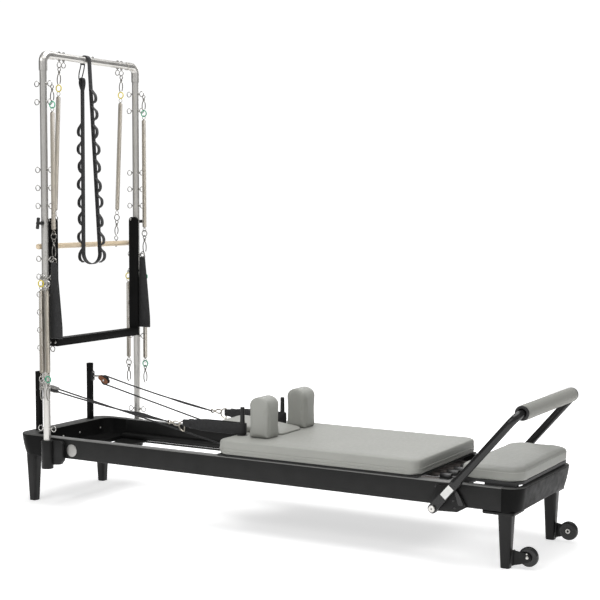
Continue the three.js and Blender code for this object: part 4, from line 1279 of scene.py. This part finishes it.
def tower_strap(name, body):
    """Padded webbing loop folded flat below its D-ring, broader towards the fold."""
    low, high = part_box(f"tower_strap_{name}")
    low.z -= STRAP_DROP
    high.z -= STRAP_DROP
    y = (low.y + high.y) / 2
    form = Form()
    top_x, low_x = HANGER_X * MM, (low.x + high.x) / 2
    height, width = high.z - low.z, high.x - low.x
    for layer in (-1, 1):
        points, widths = [], []
        for t in [i / 14 for i in range(15)]:
            bow = 0.0026 + 0.0014 * sin(pi * t)
            z = high.z - 0.004 - (height - 0.012) * t
            points.append(Vector((top_x + (low_x - top_x) * t, y + layer * bow, z)))
            widths.append(0.028 + (width - 0.030) * min(1, t * 1.15))
        tape(form, points, X_AXIS, widths, 0.0048, crown=0.25)
    fold = arc_points((low_x, y, low.z + 0.009), Y_AXIS, DOWN, 0.0040, 0, 180, 10)
    tape(form, fold, X_AXIS, width - 0.003, 0.0046)
    tube(form, [Vector((top_x - 0.012 + 0.024 * i / 4, y, high.z - 0.006)) for i in range(5)], 0.0062, 10)
    made = form.piece(f"tower_loop_strap_{name}", WEBBING, body)
    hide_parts(f"tower_strap_{name}")
    keeper = Form()
    band = [Vector((top_x, y, high.z - 0.030)) + Vector((0.0165 * cos(t), 0.0068 * sin(t), 0))
            for t in full_turn(24)]
    tape(keeper, band, Z_AXIS, 0.018, 0.0016, closed=True)
    keeper.piece(f"tower_strap_keeper_{name}", WEBBING, body)


# Name, place in millimetres, and the looks of the upper and the lower ring.
LOWER_SPRINGS = (
    ("near_head", TOWER_X - 1, -TOWER_Y - 30, YELLOW, BRIGHT),
    ("near_foot", TOWER_X + 34, -TOWER_Y - 30, BRIGHT, GREEN),
    ("far_head", TOWER_X - 50, TOWER_Y, YELLOW, BRIGHT),
    ("far_foot", HANGER_X, TOWER_Y, GREEN, GREEN),
)


def lower_hangers():
    for name, x, y, upper, lower in LOWER_SPRINGS:
        body = f"lower_hanger_{name}"
        top = mm(x, y, 1031)
        hooks = Form()
        ring(hooks, top - DOWN * 0.001, Y_AXIS, 0.006, 0.0018, 18, 6)
        snap_hook(hooks, top + DOWN * 0.455, top + DOWN * 0.540, 1.5)
        hooks.piece(f"lower_hooks_{name}", HOOK_STEEL, body)
        coated_ring(f"lower_top_ring_{name}", top + DOWN * 0.019, upper, body)
        coated_ring(f"lower_end_ring_{name}", top + DOWN * 0.446, lower, body)
        hanging_spring(f"lower_coil_{name}", f"lower_spring_{name}", body, top, DOWN, 0.048, 0.420)


def front_hanger():
    """The eye bolt through the near post's front that carries the two near lower springs."""
    form = Form()
    face, centre = mm(TOWER_X, -TOWER_Y - TUBE_FACE, 1037), mm(TOWER_X + 8, -TOWER_Y - 30, 1040)
    eye_bolt(form, face, -Y_AXIS, 0.014, centre, 0.0125, steps=24)
    form.piece("front_eye_bolt", BRIGHT, "frame")


# ---------- long webbing loop ----------

LOOP_HEIGHTS_FRONT = (1860, 1782, 1700, 1622, 1540, 1452, 1379, 1291, 1208, 1132)
LOOP_HEIGHTS_BACK = (1707, 1624, 1541, 1462, 1379, 1300, 1216, 1130)
LOOP_TOP_Z = CROSSBAR_Z
LOOP_STRAP_END_Z = 1.938
LOOP_BEND_Z = 1136
LOOP_TOP_HALF = 20.2
LOOP_LOW_HALF = 48
LOOP_LEAN = 25
CARABINER_Z = 1.975


def webbing_x(z, strand):
    """Where one strand of the long loop runs at a height: strand is +1 in front and -1 behind."""
    t = min(1, max(0, (LOOP_TOP_Z * MM - z) / ((LOOP_TOP_Z - LOOP_BEND_Z) * MM)))
    half = LOOP_TOP_HALF + (LOOP_LOW_HALF - LOOP_TOP_HALF) * t
    return (TOWER_X + strand * half + LOOP_LEAN * t) * MM


def long_loop():
    y = LOOP_Y * MM
    top, bend = LOOP_STRAP_END_Z, LOOP_BEND_Z * MM
    path = [Vector((webbing_x(top - fall, -1), y, top - fall)) for fall in shares(top - bend, 22)[:-1]]
    path += arc_points(mm(TOWER_X + LOOP_LEAN, LOOP_Y, LOOP_BEND_Z), X_AXIS, Z_AXIS,
                       LOOP_LOW_HALF * MM, 180, 360, 18)
    rises = shares(LOOP_TOP_Z * MM - bend, 22)[1:-1]
    path += [Vector((webbing_x(bend + rise, 1), y, bend + rise)) for rise in rises]
    path += arc_points(mm(TOWER_X, LOOP_Y, LOOP_TOP_Z), X_AXIS, Z_AXIS, LOOP_TOP_HALF * MM, 0, 180, 14)
    path.append(mm(TOWER_X - LOOP_TOP_HALF, LOOP_Y, LOOP_TOP_Z - 20))
    form = Form()
    tape(form, path, Y_AXIS, 0.027, 0.0040)
    for strand, heights in ((1, LOOP_HEIGHTS_FRONT), (-1, LOOP_HEIGHTS_BACK)):
        for i, z in enumerate(heights):
            sewn_loop(form, z * MM, strand, y, i)
    eye = [Vector((webbing_x(LOOP_STRAP_END_Z, -1) + u, y, LOOP_STRAP_END_Z + v))
           for u, v in ((0, -0.050), (-0.007, -0.036), (-0.012, -0.016), (-0.008, 0.002), (0, 0.006),
                        (0.007, 0), (0.009, -0.018), (0.005, -0.038))]
    tape(form, flowing(eye, 4, closed=True), Y_AXIS, 0.024, 0.0030, closed=True)
    made = form.piece("long_loop_webbing", WEBBING, "long_loop")
    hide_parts("loop_strap")


def sewn_loop(form, z, strand, y, index):
    """A hand loop sewn on at its two ends, drooping a little under its own weight."""
    reach = 0.0255 + 0.003 * sin(index * 2.4)
    drop = 0.005 + 0.003 * cos(index * 1.7)
    high, low = z + 0.031, z - 0.032
    shape = [(high, 0.002), (high - 0.008, 0.009), (z + 0.012 - drop, reach * 0.92),
             (z - 0.008 - drop, reach), (z - 0.024 - drop * 0.5, reach * 0.7), (low + 0.001, 0.009),
             (low - 0.004, 0.002)]
    points = [Vector((webbing_x(h, strand) + strand * out, y, h)) for h, out in shape]
    tape(form, flowing(points, 5), Y_AXIS, 0.022 + 0.002 * sin(index * 3.1), 0.0026)


def loop_carabiner():
    """The black coated carabiner that closes the back strand under the crossbar."""
    form = Form()
    centre = Vector((webbing_x(CARABINER_Z, -1) - 0.004, LOOP_Y * MM, CARABINER_Z))
    shape = [(0.004, 0.040), (0.014, 0.038), (0.017, 0.026), (0.010, -0.004), (-0.001, -0.034),
             (-0.009, -0.040), (-0.016, -0.034), (-0.015, -0.010), (-0.008, 0.014), (-0.002, 0.034)]
    points = [centre + Vector((u, 0, v)) for u, v in shape]
    tube(form, flowing(points, 4, closed=True), 0.0026, 8, closed=True)
    form.piece("loop_carabiner", PLASTIC, "long_loop")


# ---------- ropes and hand straps ----------

ROPE_BEND_RADIUS = 21.9
ROPE_END = (-154, 100, 300)


def rope_route(side):
    """The rope's own line: carriage to pulley and back, the same route as its CAD solid."""
    upright = side > 0
    centre = mm(PULLEY_X, side * RISER_Y, PULLEY_Z)
    tilt = Matrix.Rotation(PULLEY_TILT, 3, "Y")
    points = [mm(ROPE_END[0], side * ROPE_END[1], ROPE_END[2])]
    for i in range(13):
        turn = radians(-76 - 200 * i / 12 if upright else 88 + 184 * i / 12)
        along, across = ROPE_BEND_RADIUS * cos(turn), ROPE_BEND_RADIUS * sin(turn)
        points.append(centre + (mm(along, 0, across) if upright else tilt @ mm(along, across, 0)))
    last, end = points[-1], mm(STRAP_RING_X - 74, side * 173, 412)
    for t in (0.22, 0.48, 0.75):
        points.append(last.lerp(end, t) - mm(0, 0, 26 * t * (1 - t)))
    points.append(end)
    route = [points[0]]
    for p, q in zip(points, points[1:]):
        pieces = max(1, round((q - p).length / 0.03))
        route += [p.lerp(q, (k + 1) / pieces) for k in range(pieces)]
    return route


def ropes():
    for name, side in SIDES:
        route = rope_route(side)
        form = Form()
        tube(form, route, 0.0035, 10)
        rope = form.piece(f"pull_rope_{name}", ROPE)
        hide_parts(f"rope_{name}")
        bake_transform(rope)
        wrapped = rope_splice(name, side, route)
        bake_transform(wrapped)
        ring_centre = mm(STRAP_RING_X - 6, side * 168, 397 if side < 0 else 407)
        fittings = Form()
        snap_hook(fittings, route[-1] - Vector((0.006, 0, 0)), ring_centre + Vector((-0.012, 0, 0.008)), 1.6)
        hook = fittings.piece(f"rope_hook_{name}", NICKEL, "carriage")
        dee = Form()
        d_ring(dee, ring_centre, X_AXIS, 0.023, 0.0030)
        strap_ring = dee.piece(f"strap_ring_{name}", NICKEL, "carriage")


def rope_splice(name, side, route):
    """The sewn sleeve over a rope's end, with a loose loop of rope above the near one."""
    upper = route[-9:-1]
    radius = 0.0072 if side < 0 else 0.0054
    radii = [0.0036, radius * 0.85] + [radius] * (len(upper) - 4) + [radius * 0.85, 0.0042]
    splice = Form()
    tube(splice, upper, radii, 10)
    if side < 0:
        count = len(upper) - 1
        lifted = [p + Z_AXIS * (0.009 * sin(pi * i / count) ** 2) for i, p in enumerate(upper)]
        tube(splice, flowing(lifted + [route[-1]], 3), 0.0030, 8)
    return splice.piece(f"rope_splice_{name}", ROPE)


def hand_straps():
    shape = [(-0.4120, 0.0045), (-0.385, 0.0075), (-0.330, 0.0125), (-0.260, 0.0170), (-0.190, 0.0185),
             (-0.140, 0.0172), (-0.1105, 0.0160), (-0.0985, 0.0110), (-0.0945, 0.0)]
    for name, side in SIDES:
        y = side * 0.168
        path = [Vector((u, y + v, 0.412)) for u, v in shape]
        path += [Vector((u, y - v, 0.412)) for u, v in reversed(shape[:-1])]
        points = flowing(path, 5, closed=True)
        widths = []
        for p in points:
            t = min(1, max(0, (p.x + 0.412) / 0.12))
            widths.append(0.030 + 0.018 * t * t * (3 - 2 * t))
        form = Form()
        tape(form, points, Z_AXIS, widths, 0.0046, closed=True, crown=0.25)
        strap = form.piece(f"hand_loop_{name}", WEBBING, "carriage")
        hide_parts(f"hand_strap_{name}")
        keeper = Form()
        band = [Vector((-0.372, y, 0.412)) + Vector((0, 0.0118 * cos(t), 0.0205 * sin(t)))
                for t in full_turn(28)]
        tape(keeper, band, X_AXIS, 0.020, 0.0016, closed=True)
        keeper.piece(f"hand_loop_keeper_{name}", WEBBING, "carriage")


# ---------- carriage springs and small fittings ----------

SPRING_ROWS = (-0.140, -0.070, 0.0, 0.070, 0.140)
SPRING_ROW_Z = 0.296
SPRING_CAP_X = 0.800
SPRING_FRONT_X = 0.577


def carriage_springs():
    form, caps = Form(), Form()
    turns = (SPRING_CAP_X - SPRING_FRONT_X) / 0.0036
    for y in SPRING_ROWS:
        front, back = (SPRING_FRONT_X, y, SPRING_ROW_Z), (SPRING_CAP_X, y, SPRING_ROW_Z)
        coil(form, front, back, 0.0116, 0.0015, turns)
    # The coils take the darker spring copy, which paints the shade of the cushion over them.
    made = form.piece("carriage_coils", SHADED_SPRING)
    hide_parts("carriage_springs")
    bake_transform(made)
    profile = [(0, -0.002), (0.0145, -0.002), (0.016, 0), (0.016, 0.044), (0.0145, 0.046), (0.006, 0.047),
               (0.006, 0.068), (0, 0.068)]
    for y in SPRING_ROWS:
        turned(caps, profile, (SPRING_CAP_X, y, SPRING_ROW_Z), X_AXIS, 20)
    caps.piece("spring_end_caps", PLASTIC, "frame")


FOOT_BAR_LEAN = radians(49)
FOOT_ARM_FACE_Y = 344
BRACKET_FACE_Y = 316
KNOB_TILT = radians(8)
WHEEL_HALF = 0.011


def foot_bar_details():
    """Pivot bolts, each with a thin black disc on its face as painted shade of a drive recess, and a blank
    label on each arm.
    """
    steel, dark, blank = Form(), Form(), Form()
    up = Vector((cos(FOOT_BAR_LEAN), 0, sin(FOOT_BAR_LEAN)))
    for side in (-1, 1):
        pivot = mm(FOOT_PIVOT_X, side * FOOT_ARM_FACE_Y, FOOT_PIVOT_Z)
        outwards = Vector((0, side, 0))
        turned(steel, [(0, 0), (0.0132, 0), (0.0132, 0.0072), (0.012, 0.0084), (0, 0.0086)],
               pivot, outwards, 30)
        # A thin black disc on each bolt's face: painted shade that stands in for its drive recess.
        turned(dark, [(0, 0.008), (0.003, 0.008), (0.003, 0.0089), (0, 0.0089)], pivot, outwards, 16)
        label = pivot + up * 0.092 + outwards * 0.0006
        across = up.cross(outwards)
        cheek(blank, [(-26, -14), (26, -14), (26, 14), (-26, 14)], label, up, across, outwards, 0.0008)
    steel.piece("foot_bar_pivot_bolts", STEEL, "foot_bar")
    dark.piece("foot_bar_pivot_recess_shades", RUBBER, "foot_bar")
    blank.piece("foot_bar_blank_stickers", LABEL, "foot_bar")


def bracket_details():
    """Bolts and a curved fin on each foot bar bracket."""
    studs, fins = Form(), Form()
    outline = [(933, 292), (944, 286), (953, 274), (961, 260), (969, 244), (972, 235), (964, 231), (951, 232),
               (946, 246), (941, 262), (936, 278)]
    for side in (-1, 1):
        outwards = Vector((0, side, 0))
        for x, y, z in ((927, BRACKET_FACE_Y, 247), (934, BRACKET_FACE_Y, 219), (852, RAIL_Y, 293)):
            bolt_head(studs, mm(x, side * y, z), outwards, 0.0052, 0.0016)
        cheek(fins, outline, mm(0, side * (BRACKET_FACE_Y + 3.5), 0), X_AXIS, Z_AXIS, Y_AXIS, 0.0035)
    studs.piece("bracket_bolts", RUBBER, "frame")
    fins.piece("bracket_fins", RUBBER, "frame")


def push_bar_details():
    steel = Form()
    for side in (-1, 1):
        for x, z in ((-14, 745), (14, 745), (-14, 1291)):
            for away in (-1, 1):
                face = mm(PUSH_BAR_X + x, side * PUSH_BAR_Y + away * 6, z)
                bolt_head(steel, face, (0, away, 0), 0.0055, 0.003)
    steel.piece("push_bar_screws", BRIGHT, "push_bar")


def knob():
    """The lock's stem on the near post and its waisted bar handle."""
    form = Form()
    centre = mm(TOWER_X, -TOWER_Y, PUSH_PIVOT_Z)
    turned(form, [(0, 0), (0.0105, 0), (0.0105, 0.004), (0.0068, 0.006), (0.0062, 0.030), (0.008, 0.034),
                  (0, 0.034)], centre + Vector((0, -0.0163, 0)), -Y_AXIS, 20)
    lean = Vector((sin(KNOB_TILT), 0, cos(KNOB_TILT)))
    profile = [(0, -0.0262), (0.0055, -0.0255), (0.0078, -0.022), (0.0072, -0.010), (0.0066, 0),
               (0.0072, 0.010), (0.0078, 0.022), (0.0055, 0.0255), (0, 0.0262)]
    turned(form, profile, centre + Vector((0, -0.0463, 0)), lean, 20)
    made = form.piece("post_lock_knob", PLASTIC, "knob")
    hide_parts("lock_knob")


def transport_wheels():
    for name, side in SIDES:
        centre = mm(1202, side * 233, 48)
        body = f"caster_{name}"
        tyre = Form()
        rim = [(0.024, -WHEEL_HALF + 0.001), (0.033, -WHEEL_HALF), (0.0365, -WHEEL_HALF + 0.002),
               (0.038, -WHEEL_HALF + 0.005)]
        turned(tyre, rim + [(r, -h) for r, h in reversed(rim)], centre, Y_AXIS, 40)
        made = tyre.piece(f"transport_tyre_{name}", RUBBER, body)
        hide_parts(f"caster_wheel_{name}")
        wheel_hub(centre).piece(f"transport_hub_{name}", PLASTIC, body)
        cap = Form()
        bolt_head(cap, centre + Vector((0, side * 0.0188, 0)), (0, side, 0), 0.0062, 0.0035, False)
        bolt_head(cap, centre + Vector((-0.002, side * 0.0188, 0.0135)), (0, side, 0), 0.0034, 0.002, False)
        turned(cap, [(0.0052, 0.0112), (0.0095, 0.0112), (0.0095, 0.0152), (0.0052, 0.0152),
                     (0.0052, 0.0112)], centre, (0, -side, 0), 24)
        cap.piece(f"transport_axle_caps_{name}", STEEL, "frame")


def wheel_hub(centre):
    """A dished hub with six spokes on each face."""
    hub = Form()
    dish = [(0.0054, -WHEEL_HALF), (0.010, -WHEEL_HALF), (0.012, -WHEEL_HALF + 0.0025),
            (0.022, -WHEEL_HALF + 0.0035), (0.0245, -WHEEL_HALF + 0.001)]
    turned(hub, dish + [(r, -h) for r, h in reversed(dish)], centre, Y_AXIS, 32)
    for turn in full_turn(6):
        for face in (-1, 1):
            spoke = [centre + Vector((r * cos(turn), face * y, r * sin(turn)))
                     for r, y in ((0.012, 0.0078), (0.023, 0.0085))]
            tube(hub, spoke, 0.0016, 6)
    return hub


FAR_CHEEK_TILT = radians(26)


def pulley(name, side):
    """Swivelling pulley: two cheeks, a neck, a wall plate and the sheave's pin."""
    spin = Y_AXIS.copy() if side > 0 else Matrix.Rotation(PULLEY_TILT, 3, "Y") @ Z_AXIS
    along = Matrix.Rotation(PULLEY_TILT if side < 0 else FAR_CHEEK_TILT, 3, "Y") @ X_AXIS
    centre = mm(PULLEY_X, side * RISER_Y, PULLEY_Z)
    cheeks, metal, plate = Form(), Form(), Form()
    wide = 20 if side < 0 else 12
    outline = [(24 - wide + wide * cos(t), wide * sin(t)) for t in turns_between(-90, 90, 10)]
    outline += [(-22, wide * 0.95), (-34, 9), (-36, 5), (-36, -5), (-34, -9), (-22, -wide * 0.95)]
    for face in (-1, 1):
        cheek(cheeks, outline, centre + spin * (face * 0.0085), along, spin.cross(along), spin, 0.0015)
    plates = cheeks.piece(f"pulley_cheeks_{name}", BRASS if side > 0 else SATIN, "frame")
    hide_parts(f"pulley_block_{name}")
    sheave_pin = [(0, -0.013), (0.0048, -0.013), (0.0052, -0.0118), (0.0052, -0.0095), (0.003, -0.0095)]
    turned(metal, sheave_pin + [(r, -h) for r, h in reversed(sheave_pin)], centre, spin, 20)
    face_x = RISER_X + RISER_WIDTH / 2
    neck_low = centre - along * 0.034
    neck_top = mm(face_x + 4, side * RISER_Y, PULLEY_Z + 17)
    tube(metal, [neck_low, neck_low - along * 0.004], 0.0085, 14)
    neck = [neck_low - along * 0.002, neck_low.lerp(neck_top, 0.5), neck_top]
    tube(metal, neck, [0.0062, 0.005, 0.0058], 12)
    for z in (528, 546, 510):
        bolt_head(metal, mm(face_x + 6.8, side * RISER_Y, z), X_AXIS, 0.004, 0.0025)
    metal.piece(f"pulley_neck_{name}", BRIGHT, "frame")
    wall = [(-12, -7), (12, -7), (12, 36), (8, 41), (-8, 41), (-12, 36)]
    cheek(plate, wall, mm(face_x + 3.6, side * RISER_Y, PULLEY_Z), Y_AXIS, Z_AXIS, X_AXIS, 0.0035)
    plate.piece(f"pulley_wall_plate_{name}", BLACK if side > 0 else SATIN, "frame")


def cheek(form, outline, origin, first, second, normal, half):
    """A flat plate with slightly eased edges, its outline given in millimetres along two directions."""
    centre_u = sum(u for u, _ in outline) / len(outline)
    centre_v = sum(v for _, v in outline) / len(outline)
    rows = []
    for height, inset in ((-half, 0.5), (-half + 0.0005, 0), (half - 0.0005, 0), (half, 0.5)):
        row = []
        for u, v in outline:
            shrink = 1 - inset / max(hypot(u - centre_u, v - centre_v), 1e-3)
            across = centre_u + (u - centre_u) * shrink
            along = centre_v + (v - centre_v) * shrink
            row.append(origin + (first * across + second * along) * MM + normal * height)
        rows.append(row)
    form.grid(rows, False, True)


# ---------- the whole machine ----------

# The order in which everything is made.
STEPS = (
    set_camera, set_world, set_lights, pale_floor, coat_nodes, eased_frame, castings_and_rails, frame_bolts,
    rail_discs, flat_pads, headrest_pad, shoulder_pads, foam_grip, post_eye_bolts, crossbar_eye_bolts,
    roll_down_set, upper_hangers, lower_hangers, front_hanger, long_loop, loop_carabiner, ropes, hand_straps,
    under_trims, carriage_springs, foot_bar_details, bracket_details, push_bar_details, knob,
    transport_wheels,
)
for step in STEPS:
    step()
for pulley_name, pulley_side in SIDES:
    pulley(pulley_name, pulley_side)
